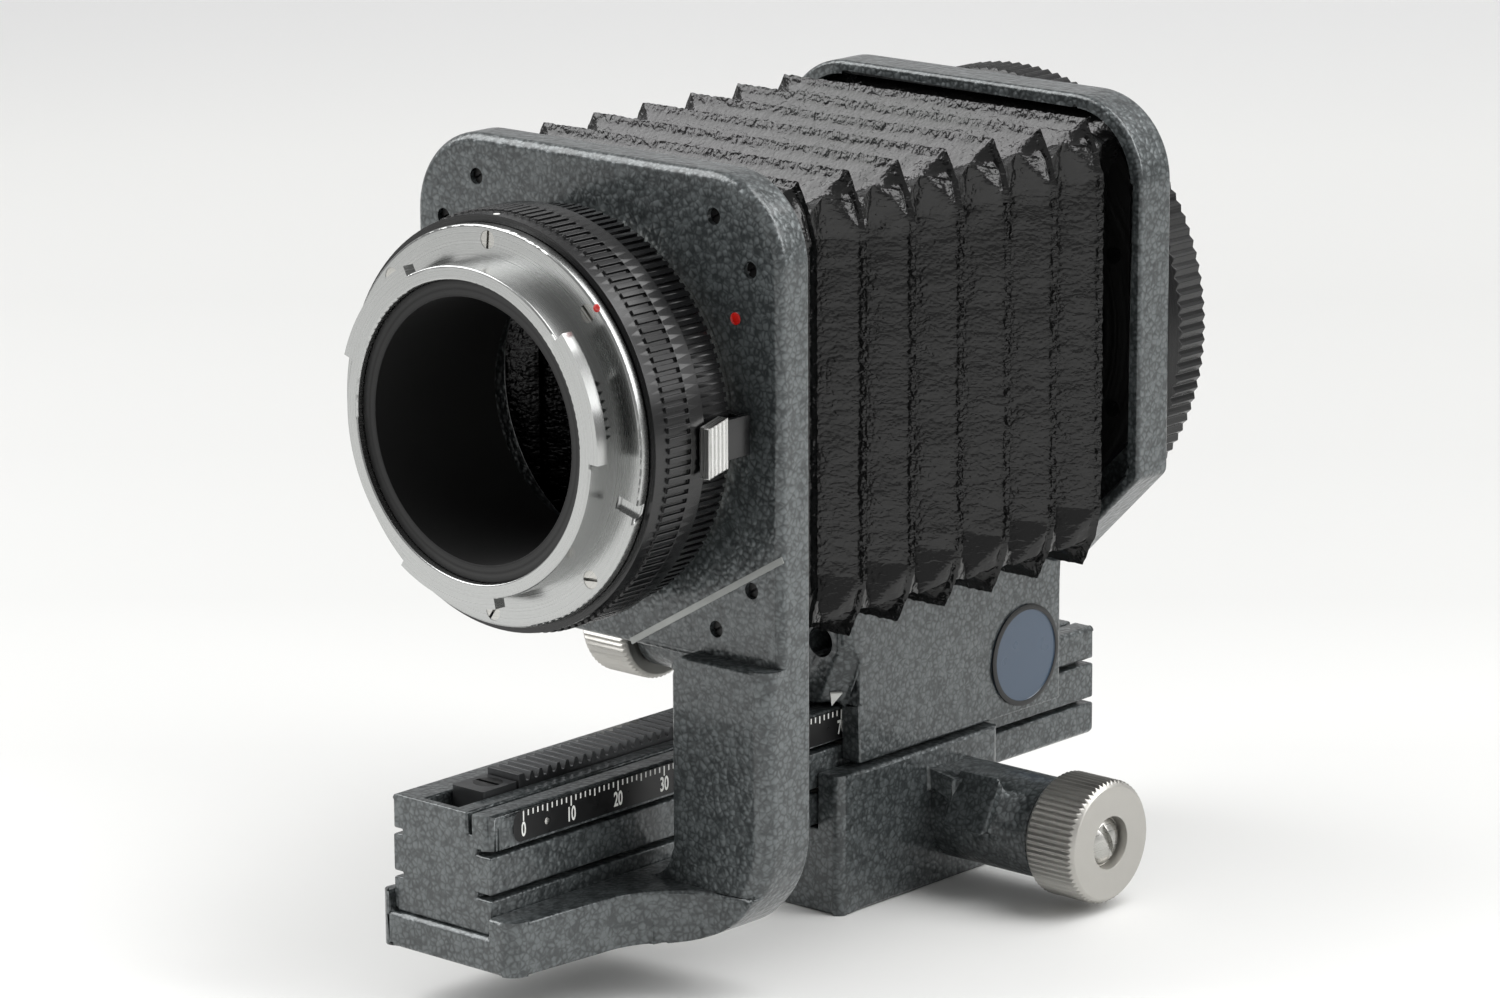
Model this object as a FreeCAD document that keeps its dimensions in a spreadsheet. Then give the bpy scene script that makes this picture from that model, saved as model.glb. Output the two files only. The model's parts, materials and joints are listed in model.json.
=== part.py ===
"""Macro bellows unit: a focusing rail in a tripod carriage, a camera standard, a lens standard and a bellows.

The origin is the mouth of the tripod socket, in the middle of the carriage's underside. +Z is up, +Y runs
along the rail from the camera side to the lens side, and +X points to the focusing knob. Millimetres.
"""
import FreeCAD, Part
import math
import os

import Sketcher
from FreeCAD import Placement, Rotation, Vector

doc = FreeCAD.newDocument("MacroBellowsUnit")
sheet = doc.addObject("Spreadsheet::Sheet", "Sizes")

# Driving dimensions. A *_front size is a distance from the origin towards the camera (-Y).
SIZES = {
    # Clearances
    "running_fit": 0.05,        # radial, between a shaft and its bush
    "sliding_gap": 0.3,         # between pieces that pass each other
    "seat_fit": 0.1,            # round a piece that is set into a pocket
    "strip_fit": 0.15,          # each side of a guide strip in its groove
    # Rail
    "rail_width": 19.6,
    "rail_bottom": 13.5,
    "rail_height": 17.8,
    "rail_front": 90.0,
    "rail_length": 138.65,
    "rail_edge_radius": 0.8,
    "rail_bevel": 0.7,
    "groove_height": 0.8,
    "lower_groove_level": 19.15,
    "upper_groove_level": 25.65,
    "groove_depth_right": 3.0,
    "groove_depth_left": 1.7,
    "slit_place": 5.2,
    "slit_width": 0.8,
    "slit_depth": 3.3,
    "bar_corner_radius": 2.0,
    # Racks and pinions
    "gear_module": 0.6,
    "gear_backlash": 0.16,
    "pressure_angle": 20.0,
    "pinion_teeth": 14,
    "pinion_face": 5.6,
    "rack_centre": 1.05,        # the racks lie this far left of the rail's middle
    "rack_width": 6.6,
    "rack_seat_depth": 3.3,
    "rack_seat_front": 88.7,
    "rack_front": 76.0,
    "rack_proud": 1.88,
    "lower_rack_seat": 4.5,
    "lower_rack_inset": 1.22,
    "lower_rack_front": 50.0,
    "lower_rack_length": 96.0,
    "stop_front": 83.5,
    "stop_length": 7.2,
    "stop_proud": 0.9,
    "stop_screw_head": 2.2,
    "stop_screw_sink": 1.4,
    "stop_screw_share": 0.6,        # of the block's length, from its near end
    # Scale
    "scale_front": 85.1,
    "scale_length": 114.0,
    "scale_low": 26.35,
    "scale_height": 4.6,
    "scale_thickness": 0.35,
    "rivet_radius": 0.55,
    "rivet_inset": 7.0,
    # Carriage
    "carriage_width": 29.2,
    "carriage_front": 19.0,
    "carriage_length": 38.25,
    "carriage_height": 22.2,
    "carriage_corner": 1.5,
    "neck_radius": 7.9,
    "neck_end": 33.4,
    "neck_pad_start": 19.3,
    "neck_pad_length": 8.0,
    "neck_pad_height": 9.4,
    "focus_axis_place": 10.2,
    "socket_radius": 2.55,
    "socket_wall": 1.85,
    "socket_length": 9.0,
    "strip_anchor": 1.6,
    "strip_length": 34.0,
    # Shafts, bushes and knobs
    "shaft_radius": 1.95,
    "bush_wall": 1.2,
    "bush_length": 6.0,
    "wall_bush_length": 4.4,
    "bush_flange_radius": 7.4,
    "bush_flange": 0.6,
    "knob_radius": 9.7,
    "knob_length": 9.5,
    "knob_gap": 0.4,
    "knob_flutes": 64,
    "flute_depth": 0.5,
    "knob_recess_radius": 4.1,
    "knob_recess_depth": 2.0,
    "knob_web": 0.9,
    "knob_screw_head": 3.7,
    "knob_screw_dome": 1.5,
    "knob_screw_shank": 1.2,
    "knob_screw_length": 6.0,
    # Camera standard
    "standard_width": 72.3,
    "standard_top": 122.15,
    "axis_height": 85.3,
    "plate_back_front": 50.4,
    "plate_thickness": 6.22,
    "plate_low": 49.7,
    "plate_corner": 13.0,
    "plate_edge_radius": 1.4,
    "throat_radius": 24.0,
    "arm_depth": 9.6,
    "arm_inner": 17.7,
    "arm_top": 50.9,
    "arm_corner": 17.5,
    "arm_edge_radius": 2.6,
    "arm_foot_radius": 5.0,
    "foot_low": 8.3,
    "foot_left": 12.0,
    "foot_right": 16.4,
    "foot_wall_top": 16.5,
    "foot_ledge": 1.0,
    "foot_sweep": 13.0,
    "foot_corner": 2.8,
    "foot_screw_offset": 6.4,
    "foot_screw_head": 2.6,
    "foot_screw_shank": 1.45,
    "foot_screw_length": 9.0,
    "plate_screw_near": 23.5,
    "plate_screw_far": 30.4,
    "plate_screw_recess": 1.25,
    "plate_screw_depth": 1.6,
    "plate_screw_shank": 0.75,
    # Bellows
    "bellows_half": 33.3,
    "bellows_valley_half": 27.2,
    "bellows_low": 50.9,
    "bellows_corner": 8.0,
    "bellows_wall": 0.9,
    "bellows_first_ridge": 2.9,     # from the bellows' front end
    "bellows_pitch": 10.97,
    "bellows_ridges": 7,
    "frame_thickness": 1.5,
    "frame_outer_half": 32.6,
    "frame_inner_half": 25.6,
    "frame_corner": 9.0,
    # Camera mount
    "base_ring_radius": 27.0,
    "base_ring_thickness": 3.58,
    "hub_radius": 25.0,
    "hub_wall": 2.0,
    "hub_reach": 18.4,              # from the plate's front face
    "retainer_length": 1.2,
    "retainer_lip": 1.2,
    "mount_ring_radius": 29.8,
    "ring_rib_depth": 0.45,
    "ring_ribs": 132,
    "mount_knurl_length": 6.2,
    "mount_step_radius": 28.2,
    "number_ring_radius": 31.0,
    "number_ring_length": 9.8,
    "number_ring_lip": 2.4,
    "number_ring_rib_length": 4.5,
    "bayonet_front": 78.6,
    "bayonet_radius": 29.4,
    "bayonet_flange": 1.6,
    "barrel_radius": 24.2,
    "barrel_inner": 22.1,
    "barrel_reach": 5.0,
    "lug_height": 1.5,
    "lug_length": 2.0,
    "lug_angle": 44.0,
    "lug_turn": 20.0,
    "bayonet_screw_circle": 27.35,
    "bayonet_screw_head": 1.35,
    "bayonet_screw_shank": 0.8,
    "bayonet_screw_length": 4.5,
    "lock_notch_angle": -16.0,
    "lock_notch_width": 2.0,
    "lock_notch_inner": 25.6,
    "tube_inner": 19.5,
    "tube_lip": 1.2,
    "tube_length": 25.0,
    "lever_width": 7.4,
    "lever_length": 4.1,
    "lever_height": 1.9,
    "lever_drop": 0.8,
    "lever_skew": 1.0,
    "lever_overhang": 1.9,
    "lever_arm_width": 6.0,
    "lever_arm_height": 0.9,
    "lever_foot_reach": 0.6,
    "lever_slot_reach": 1.4,
    "lever_ribs": 5,
    "lever_rib_depth": 0.25,
    "lever_travel": 8.0,            # degrees
    # Lens carrier
    "carrier_width": 27.2,
    "carrier_front": 13.2,
    "carrier_length": 48.6,
    "carrier_low": 22.8,
    "carrier_top": 48.0,
    "carrier_edge_radius": 1.2,
    "nose_reach": 3.0,
    "nose_left": 9.0,
    "nose_low": 32.0,
    "nose_corner": 2.2,
    "nose_hole_place": 8.3,
    "nose_hole_level": 41.9,
    "nose_hole_radius": 2.4,
    "nose_hole_depth": 9.0,
    "flank_place": 10.41,           # X where the nose's slanted flank starts at its bottom
    "flank_lean": 0.449,            # X per millimetre of height
    "flank_skew": 0.89,             # X per millimetre of Y
    "flank_height": 12.0,
    "extension_axis_front": 8.2,
    "boss_radius": 7.2,
    "boss_end": 30.7,
    "badge_place": 26.4,
    "badge_level": 31.9,
    "badge_radius": 8.1,
    "badge_thickness": 1.0,
    "badge_seat": 0.6,
    "pointer_place": 1.4,           # in front of the carrier's cheek
    "pointer_half_width": 0.7,
    "pointer_height": 2.2,
    "pointer_drop": 0.2,
    "pointer_thickness": 0.5,
    # Lens standard
    "lens_standard_front": 25.9,
    "lens_standard_thickness": 7.5,
    "lens_standard_cut": 15.85,
    "lens_recess_depth": 4.6,
    "lens_rim": 2.1,
    "standard_screw_head": 2.6,
    "standard_screw_shank": 1.45,
    "standard_screw_spacing": 17.0,
    "standard_screw_depth": 5.0,    # of thread in the lens standard
    "standard_screw_sink": 11.0,    # how deep the head sits in the carrier
    "lens_base_radius": 33.0,
    "lens_base_flange": 2.6,
    "lens_hub_radius": 31.0,
    "lens_hub_bore": 25.0,
    "lens_hub_reach": 6.6,
    "lens_ring_radius": 37.2,
    "lens_ring_length": 7.3,
    "lens_ring_flutes": 120,
    "lens_ring_bevel": 1.6,
    "lens_flange_radius": 29.6,
    "lens_flange_thickness": 1.6,
    "lens_flange_bore": 25.4,
    "lens_tab_height": 1.6,
    "lens_tab_angle": 50.0,
    "lock_pin_radius": 0.95,
    "lock_pin_proud": 1.2,
    "lock_pin_length": 5.0,
}
for row, (alias, value) in enumerate(SIZES.items(), start=1):
    sheet.set(f"A{row}", alias)
    sheet.set(f"B{row}", str(value))
    sheet.setAlias(f"B{row}", alias)
doc.recompute()

PLANE_SIGN = {"XY": 1, "XZ": -1, "YZ": 1}
parts = []


def mm(alias):
    """A driving dimension, read from the sheet."""
    return float(sheet.get(alias))


# ---------------------------------------------------------------------------------------------------------
# Building helpers
# ---------------------------------------------------------------------------------------------------------
def new_body(label):
    """An empty body that becomes the sub-part of that name."""
    body = doc.addObject("PartDesign::Body", label)
    body.Label = label
    parts.append(body)
    return body


def origin_plane(body, plane):
    """The body's own XY, XZ or YZ plane."""
    return next(item for item in body.Origin.OriginFeatures if item.Role == plane + "_Plane")


def new_sketch(body, name, plane, level="0", across="0", up="0"):
    """A sketch parallel to an origin plane, at a level along +X, +Y or +Z and with its own zero moved."""
    item = body.newObject("Sketcher::SketchObject", f"{body.Label}_{name}")
    item.AttachmentSupport = [(origin_plane(body, plane), "")]
    item.MapMode = "FlatFace"
    item.setExpression("AttachmentOffset.Base.x", across)
    item.setExpression("AttachmentOffset.Base.y", up)
    item.setExpression("AttachmentOffset.Base.z", f"{PLANE_SIGN[plane]} * ({level})")
    return item


def rounded(corners):
    """Edges of a closed outline. A corner is (u, v) or (u, v, radius)."""
    points = [Vector(corner[0], corner[1]) for corner in corners]
    radii = [corner[2] if len(corner) > 2 else 0 for corner in corners]
    starts, ends, middles = [], [], []
    for index, point in enumerate(points):
        back = (points[index - 1] - point).normalize()
        ahead = (points[(index + 1) % len(points)] - point).normalize()
        half_angle = back.getAngle(ahead) / 2
        reach = radii[index] / math.tan(half_angle)
        starts.append(point + back * reach)
        ends.append(point + ahead * reach)
        if radii[index]:
            bisector = (back + ahead).normalize()
            centre = point + bisector * (radii[index] / math.sin(half_angle))
            middles.append(centre - bisector * radii[index])
        else:
            middles.append(None)
    edges = []
    for index in range(len(points)):
        if middles[index]:
            edges.append(Part.Arc(starts[index], middles[index], ends[index]))
        following = starts[(index + 1) % len(points)]
        if (following - ends[index]).Length > 1e-6:
            edges.append(Part.LineSegment(ends[index], following))
    return edges


def draw(item, *outlines):
    """Adds closed outlines of straight lines and arcs to a sketch."""
    for corners in outlines:
        item.addGeometry(rounded(corners), False)


def draw_circle(item, u, v, radius):
    """Adds a circle whose radius is bound to an expression."""
    index = item.addGeometry(Part.Circle(Vector(u, v), Vector(0, 0, 1), 1.0), False)
    constraint = item.addConstraint(Sketcher.Constraint("Radius", index, 1.0))
    item.setExpression(f"Constraints[{constraint}]", radius)


def draw_corner_cut(item, u, v, radius, u_side, v_side):
    """Adds the waste outside a rounded corner at (u, v). The sides point from the corner into the piece."""
    corner = Vector(u, v)
    first = Vector(u + u_side * radius, v)
    second = Vector(u, v + v_side * radius)
    reach = radius * (1 - math.sqrt(0.5))
    middle = Vector(u + u_side * reach, v + v_side * reach)
    item.addGeometry([Part.LineSegment(corner, first), Part.Arc(first, middle, second),
                      Part.LineSegment(second, corner)], False)


def rectangle(u_low, v_low, u_high, v_high, radius=0):
    """Corners of an upright rectangle."""
    return [(u_low, v_low, radius), (u_high, v_low, radius), (u_high, v_high, radius), (u_low, v_high, radius)]


def pad(item, length):
    """Material from the sketch towards +X, +Y or +Z."""
    body = item.getParentGeoFeatureGroup()
    feature = body.newObject("PartDesign::Pad", item.Name + "_pad")
    feature.Profile = item
    feature.setExpression("Length", length)
    feature.Reversed = origin_plane(body, "XZ") == item.AttachmentSupport[0][0]
    doc.recompute()
    return feature


def pocket(item, length):
    """Cuts from the sketch towards +X, +Y or +Z, and makes sure that something was cut."""
    body = item.getParentGeoFeatureGroup()
    before = body.Shape.Volume
    feature = body.newObject("PartDesign::Pocket", item.Name + "_cut")
    feature.Profile = item
    feature.setExpression("Length", length)
    feature.Reversed = origin_plane(body, "XZ") != item.AttachmentSupport[0][0]
    doc.recompute()
    if not feature.Shape.Volume < before - 1e-6:
        raise RuntimeError(f"{feature.Name} cuts nothing")
    return feature


def turn(item, axis="H_Axis", cut=False):
    """Turns the sketch's half profile about its own horizontal or vertical axis."""
    body = item.getParentGeoFeatureGroup()
    kind = "PartDesign::Groove" if cut else "PartDesign::Revolution"
    feature = body.newObject(kind, item.Name + "_turned")
    feature.Profile = item
    feature.ReferenceAxis = (item, [axis])
    feature.Angle = 360
    doc.recompute()
    return feature


def round_edges(body, radius, chosen):
    """Rounds the edges of the body for which chosen(edge) holds."""
    base = body.Tip
    names = [f"Edge{number}" for number, edge in enumerate(base.Shape.Edges, 1) if chosen(edge)]
    feature = body.newObject("PartDesign::Fillet", body.Label + "_round")
    feature.Base = (base, names)
    feature.setExpression("Radius", radius)
    doc.recompute()
    return feature


def along_x(body, name, y, z):
    """A sketch whose horizontal axis runs along X through the given Y and Z."""
    return new_sketch(body, name, "XZ", level=y, up=z)


def along_y(body, name, z=None, x="0"):
    """A sketch whose horizontal axis runs along Y, by default through the optical axis."""
    return new_sketch(body, name, "YZ", level=x, up=z or "Sizes.axis_height")


def free_part(label, shape, place=Vector(0, 0, 0)):
    """A sub-part with a shape of its own."""
    item = doc.addObject("Part::Feature", label)
    item.Label = label
    item.Shape = shape
    item.Placement = Placement(place, Rotation())
    parts.append(item)
    return item


def fluted(radius, depth, flutes, turn_by=0.0):
    """Corners of a round outline with V-shaped flutes."""
    corners = []
    for index in range(flutes):
        for offset, reach in ((0.0, radius), (0.5, radius - depth)):
            angle = 2 * math.pi * (index + offset) / flutes + turn_by
            corners.append((reach * math.cos(angle), reach * math.sin(angle)))
    return corners


def ribbed(radius, depth, ribs):
    """Corners of a round outline with flat ribs and equally wide flat-bottomed slots."""
    corners = []
    for index in range(ribs):
        for offset, reach in ((0.0, radius), (0.5, radius), (0.55, radius - depth), (0.95, radius - depth)):
            angle = 2 * math.pi * (index + offset) / ribs
            corners.append((reach * math.cos(angle), reach * math.sin(angle)))
    return corners


def involute(angle):
    """Involute function of a pressure angle."""
    return math.tan(angle) - angle


def gear_points(teeth, module, turn_by):
    """Corners of an involute gear round the origin, one tooth centred on the angle turn_by."""
    pressure = math.radians(mm("pressure_angle"))
    pitch_radius = teeth * module / 2
    base_radius = pitch_radius * math.cos(pressure)
    root_radius = pitch_radius - 1.25 * module
    tip_radius = pitch_radius + module
    half_tooth = (math.pi * module - mm("gear_backlash")) / 4 / pitch_radius + involute(pressure)
    flank = []
    steps = 4
    for step in range(steps + 1):
        radius = base_radius + (tip_radius - base_radius) * step / steps
        flank.append((radius, half_tooth - involute(math.acos(base_radius / radius))))
    flank.insert(0, (root_radius, half_tooth))
    points = []
    for tooth in range(teeth):
        middle = 2 * math.pi * tooth / teeth + turn_by
        for radius, half in flank:
            points.append(Vector(radius * math.cos(middle - half), radius * math.sin(middle - half), 0))
        for radius, half in reversed(flank):
            points.append(Vector(radius * math.cos(middle + half), radius * math.sin(middle + half), 0))
    return points


def rack_outline(start, end, back, pitch_line, gap_place, tooth_side):
    """Corners of a rack in the YZ plane. tooth_side is +1 for teeth that point up and -1 for down."""
    module = mm("gear_module")
    pitch = math.pi * module
    slope = math.tan(math.radians(mm("pressure_angle")))
    tip = 0.8 * module
    root = 1.25 * module
    half_gap = pitch / 4 + mm("gear_backlash") / 4
    corners = [(start, back), (start, pitch_line + tooth_side * tip)]
    gap = gap_place + math.ceil((start - gap_place) / pitch + 0.5) * pitch
    while gap < end - pitch / 2:
        wide = half_gap + tip * slope
        narrow = half_gap - root * slope
        corners.append((gap - wide, pitch_line + tooth_side * tip))
        corners.append((gap - narrow, pitch_line - tooth_side * root))
        corners.append((gap + narrow, pitch_line - tooth_side * root))
        corners.append((gap + wide, pitch_line + tooth_side * tip))
        gap += pitch
    corners.append((end, pitch_line + tooth_side * tip))
    corners.append((end, back))
    return corners


def screw(head_radius, head_height, shank_radius, length, countersunk=False, dome=0.0):
    """A slotted screw that stands on Z: top of its head at zero, tip at -length."""
    if countersunk:
        head = Part.makeCone(shank_radius, head_radius, head_height, Vector(0, 0, -head_height))
    else:
        head = Part.makeCylinder(head_radius, head_height, Vector(0, 0, -head_height))
    if dome:
        radius = (head_radius ** 2 + dome ** 2) / (2 * dome)
        ball = Part.makeSphere(radius, Vector(0, 0, dome - radius))
        head = head.fuse(ball.common(Part.makeCylinder(head_radius, dome))).removeSplitter()
    shank = Part.makeCylinder(shank_radius, length - head_height, Vector(0, 0, -length))
    slot_width = 0.3 * head_radius
    slot_depth = 0.45 * (head_height + dome)
    slot = Part.makeBox(3 * head_radius, slot_width, slot_depth + 1,
                        Vector(-1.5 * head_radius, -slot_width / 2, dome - slot_depth))
    return head.fuse(shank).cut(slot)


def placed(shape, place, direction, spin=0.0):
    """A copy of a shape with its Z axis along the given direction, turned about it by spin degrees."""
    turned = Rotation(Vector(0, 0, 1), direction).multiply(Rotation(spin, 0, 0))
    copy = shape.copy()
    copy.transformShape(Placement(place, turned).toMatrix(), True)
    return copy


UP = Vector(0, 0, 1)
DOWN = Vector(0, 0, -1)
RIGHT = Vector(1, 0, 0)
LEFT = Vector(-1, 0, 0)
TO_CAMERA = Vector(0, -1, 0)
TO_LENS = Vector(0, 1, 0)

# Places that several pieces share
rail_top = mm("rail_bottom") + mm("rail_height")
rail_half = mm("rail_width") / 2
rail_near = -mm("rail_front")
rail_far = rail_near + mm("rail_length")
pinion_pitch_radius = mm("pinion_teeth") * mm("gear_module") / 2
rack_tip = 0.8 * mm("gear_module")
focus_axis_y = mm("focus_axis_place")
focus_axis_z = mm("rail_bottom") + mm("lower_rack_inset") + rack_tip - pinion_pitch_radius
extension_axis_y = -mm("extension_axis_front")
extension_axis_z = rail_top + mm("rack_proud") - rack_tip + pinion_pitch_radius
plate_back = -mm("plate_back_front")
plate_front = plate_back - mm("plate_thickness")
arm_front = plate_back - mm("arm_depth")
standard_near = rail_near - mm("foot_ledge")
axis_z = mm("axis_height")
half_width = mm("standard_width") / 2
rack_middle = -mm("rack_centre")
lens_front = mm("lens_standard_front")
lens_back = lens_front + mm("lens_standard_thickness")
carrier_near = -mm("carrier_front")
shaft_hole = mm("shaft_radius") + mm("running_fit")
bush_radius = mm("shaft_radius") + mm("bush_wall")

# The same places as expressions for features
EXPR_RAIL_NEAR = "-Sizes.rail_front"
EXPR_PLATE_FRONT = "-Sizes.plate_back_front - Sizes.plate_thickness"
EXPR_FOCUS_Z = ("Sizes.rail_bottom + Sizes.lower_rack_inset + 0.8 * Sizes.gear_module"
                " - Sizes.pinion_teeth * Sizes.gear_module / 2")
EXPR_EXTENSION_Z = ("Sizes.rail_bottom + Sizes.rail_height + Sizes.rack_proud - 0.8 * Sizes.gear_module"
                    " + Sizes.pinion_teeth * Sizes.gear_module / 2")
EXPR_LENS_BACK = "Sizes.lens_standard_front + Sizes.lens_standard_thickness"


# ---------------------------------------------------------------------------------------------------------
# Rail with its racks, stop and scale
# ---------------------------------------------------------------------------------------------------------
def make_rail():
    """Bar with two grooves on each side, a slit beside the scale bar and a closed channel underneath."""
    body = new_body("rail")
    bottom = mm("rail_bottom")
    bevel = mm("rail_bevel")
    low_groove = mm("lower_groove_level") - mm("groove_height") / 2
    high_groove = mm("upper_groove_level") - mm("groove_height") / 2
    left_depth = mm("groove_depth_left")
    right_depth = mm("groove_depth_right")
    channel_half = mm("rack_width") / 2
    slit = mm("slit_place")
    corners = [(-rail_half + bevel, bottom), (-rail_half, bottom + bevel)]
    for low in (low_groove, high_groove):
        corners.append((-rail_half, low))
        corners.append((-rail_half + left_depth, low))
        corners.append((-rail_half + left_depth, low + mm("groove_height")))
        corners.append((-rail_half, low + mm("groove_height")))
    corners.append((-rail_half, rail_top, mm("rail_edge_radius")))
    corners.append((slit, rail_top))
    corners.append((slit, rail_top - mm("slit_depth")))
    corners.append((slit + mm("slit_width"), rail_top - mm("slit_depth")))
    corners.append((slit + mm("slit_width"), rail_top))
    corners.append((rail_half, rail_top, mm("rail_edge_radius")))
    for low in (high_groove, low_groove):
        corners.append((rail_half, low + mm("groove_height")))
        corners.append((rail_half - right_depth, low + mm("groove_height")))
        corners.append((rail_half - right_depth, low))
        corners.append((rail_half, low))
    corners += [(rail_half, bottom + bevel), (rail_half - bevel, bottom)]
    section = new_sketch(body, "section", "XZ", EXPR_RAIL_NEAR)
    draw(section, corners)
    pad(section, "Sizes.rail_length")

    seat = new_sketch(body, "rack_seat", "XY", "Sizes.rail_bottom + Sizes.rail_height - Sizes.rack_seat_depth")
    draw(seat, rectangle(rack_middle - channel_half, -mm("rack_seat_front"),
                         rack_middle + channel_half, rail_far + 1))
    pocket(seat, "Sizes.rack_seat_depth + 1")

    channel = new_sketch(body, "lower_channel", "XY", "Sizes.rail_bottom")
    channel_near = -mm("lower_rack_front") - mm("sliding_gap")
    channel_far = mm("lower_rack_length") - mm("lower_rack_front") + mm("sliding_gap")
    draw(channel, rectangle(rack_middle - channel_half, channel_near, rack_middle + channel_half, channel_far))
    pocket(channel, "Sizes.lower_rack_seat")

    corner = new_sketch(body, "bar_corner", "XY", "Sizes.upper_groove_level")
    draw_corner_cut(corner, rail_half, rail_near, mm("bar_corner_radius"), -1, 1)
    pocket(corner, "Sizes.rail_height")

    strip_seat = new_sketch(body, "strip_seat", "YZ", "Sizes.rail_width / 2 - Sizes.scale_thickness")
    draw(strip_seat, scale_outline())
    pocket(strip_seat, "Sizes.scale_thickness")

    holes = new_sketch(body, "screw_holes", "XY", "Sizes.rail_bottom")
    for x, y in foot_screw_places():
        draw_circle(holes, x, y, "Sizes.foot_screw_shank")
    pocket(holes, "Sizes.foot_screw_length - Sizes.rail_bottom + Sizes.foot_low")


def foot_screw_places():
    """Centres of the four screws that hold the rail on the foot."""
    inset = 3.0 * mm("foot_screw_head")
    rows = (standard_near + inset, arm_front)
    return [(rack_middle + side * mm("foot_screw_offset"), y) for side in (-1, 1) for y in rows]


def make_upper_rack():
    """Rack set into the top of the rail, its teeth proud of it."""
    body = new_body("upper_rack")
    section = new_sketch(body, "teeth", "YZ",
                         "-Sizes.rack_centre - Sizes.rack_width / 2 + Sizes.seat_fit")
    pitch_line = extension_axis_z - pinion_pitch_radius
    draw(section, rack_outline(-mm("rack_front"), rail_far, rail_top - mm("rack_seat_depth"), pitch_line,
                               extension_axis_y, 1))
    pad(section, "Sizes.rack_width - 2 * Sizes.seat_fit")


def make_lower_rack():
    """Rack in the channel under the rail, teeth down."""
    body = new_body("lower_rack")
    section = new_sketch(body, "teeth", "YZ",
                         "-Sizes.rack_centre - Sizes.rack_width / 2 + Sizes.seat_fit")
    pitch_line = focus_axis_z + pinion_pitch_radius
    start = -mm("lower_rack_front")
    draw(section, rack_outline(start, start + mm("lower_rack_length"),
                               mm("rail_bottom") + mm("lower_rack_seat"), pitch_line, focus_axis_y, -1))
    pad(section, "Sizes.rack_width - 2 * Sizes.seat_fit")


def make_rack_stop():
    """Block at the near end of the rack with its slotted screw."""
    body = new_body("rack_stop")
    half = mm("rack_width") / 2 - mm("seat_fit")
    near = -mm("stop_front")
    block = new_sketch(body, "block", "XY", "Sizes.rail_bottom + Sizes.rail_height - Sizes.rack_seat_depth")
    draw(block, rectangle(rack_middle - half, near, rack_middle + half, near + mm("stop_length"), 0.4))
    pad(block, "Sizes.rack_seat_depth + Sizes.stop_proud")
    screw_y = near + mm("stop_length") * mm("stop_screw_share")
    hole = new_sketch(body, "hole", "XY", "Sizes.rail_bottom + Sizes.rail_height - Sizes.rack_seat_depth")
    draw_circle(hole, rack_middle, screw_y, "Sizes.foot_screw_shank")
    pocket(hole, "Sizes.rack_seat_depth + Sizes.stop_proud")
    sink = new_sketch(body, "sink", "XY",
                      "Sizes.rail_bottom + Sizes.rail_height + Sizes.stop_proud - Sizes.stop_screw_sink")
    draw_circle(sink, rack_middle, screw_y, "Sizes.stop_screw_head")
    pocket(sink, "Sizes.stop_screw_sink")
    shape = screw(mm("stop_screw_head"), mm("stop_screw_sink"), mm("foot_screw_shank"),
                  mm("rack_seat_depth") + mm("stop_proud"))
    free_part("rack_stop_screw", shape, Vector(rack_middle, screw_y, rail_top + mm("stop_proud")))


def scale_outline():
    """Outline of the scale strip: round at its near end."""
    low = mm("scale_low")
    high = low + mm("scale_height")
    near = -mm("scale_front")
    far = near + mm("scale_length")
    return [(near, low, 1.5), (far, low), (far, high), (near, high, 1.5)]


def make_scale():
    """Scale strip set flush into the rail's right side, and its two rivets."""
    body = new_body("scale_strip")
    strip = new_sketch(body, "outline", "YZ", "Sizes.rail_width / 2 - Sizes.scale_thickness")
    draw(strip, scale_outline())
    pad(strip, "Sizes.scale_thickness")
    near = -mm("scale_front")
    inset = mm("rivet_inset")
    level = mm("scale_low") + mm("scale_height") * 0.4
    holes = new_sketch(body, "rivet_holes", "YZ", "Sizes.rail_width / 2 - Sizes.scale_thickness")
    rivets = []
    for y in (near + inset, near + mm("scale_length") - inset):
        draw_circle(holes, y, level, "Sizes.rivet_radius")
        foot = Vector(rail_half - mm("scale_thickness"), y, level)
        rivets.append(Part.makeCylinder(mm("rivet_radius"), mm("scale_thickness"), foot, RIGHT))
    pocket(holes, "Sizes.scale_thickness")
    free_part("scale_rivets", Part.makeCompound(rivets))


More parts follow.
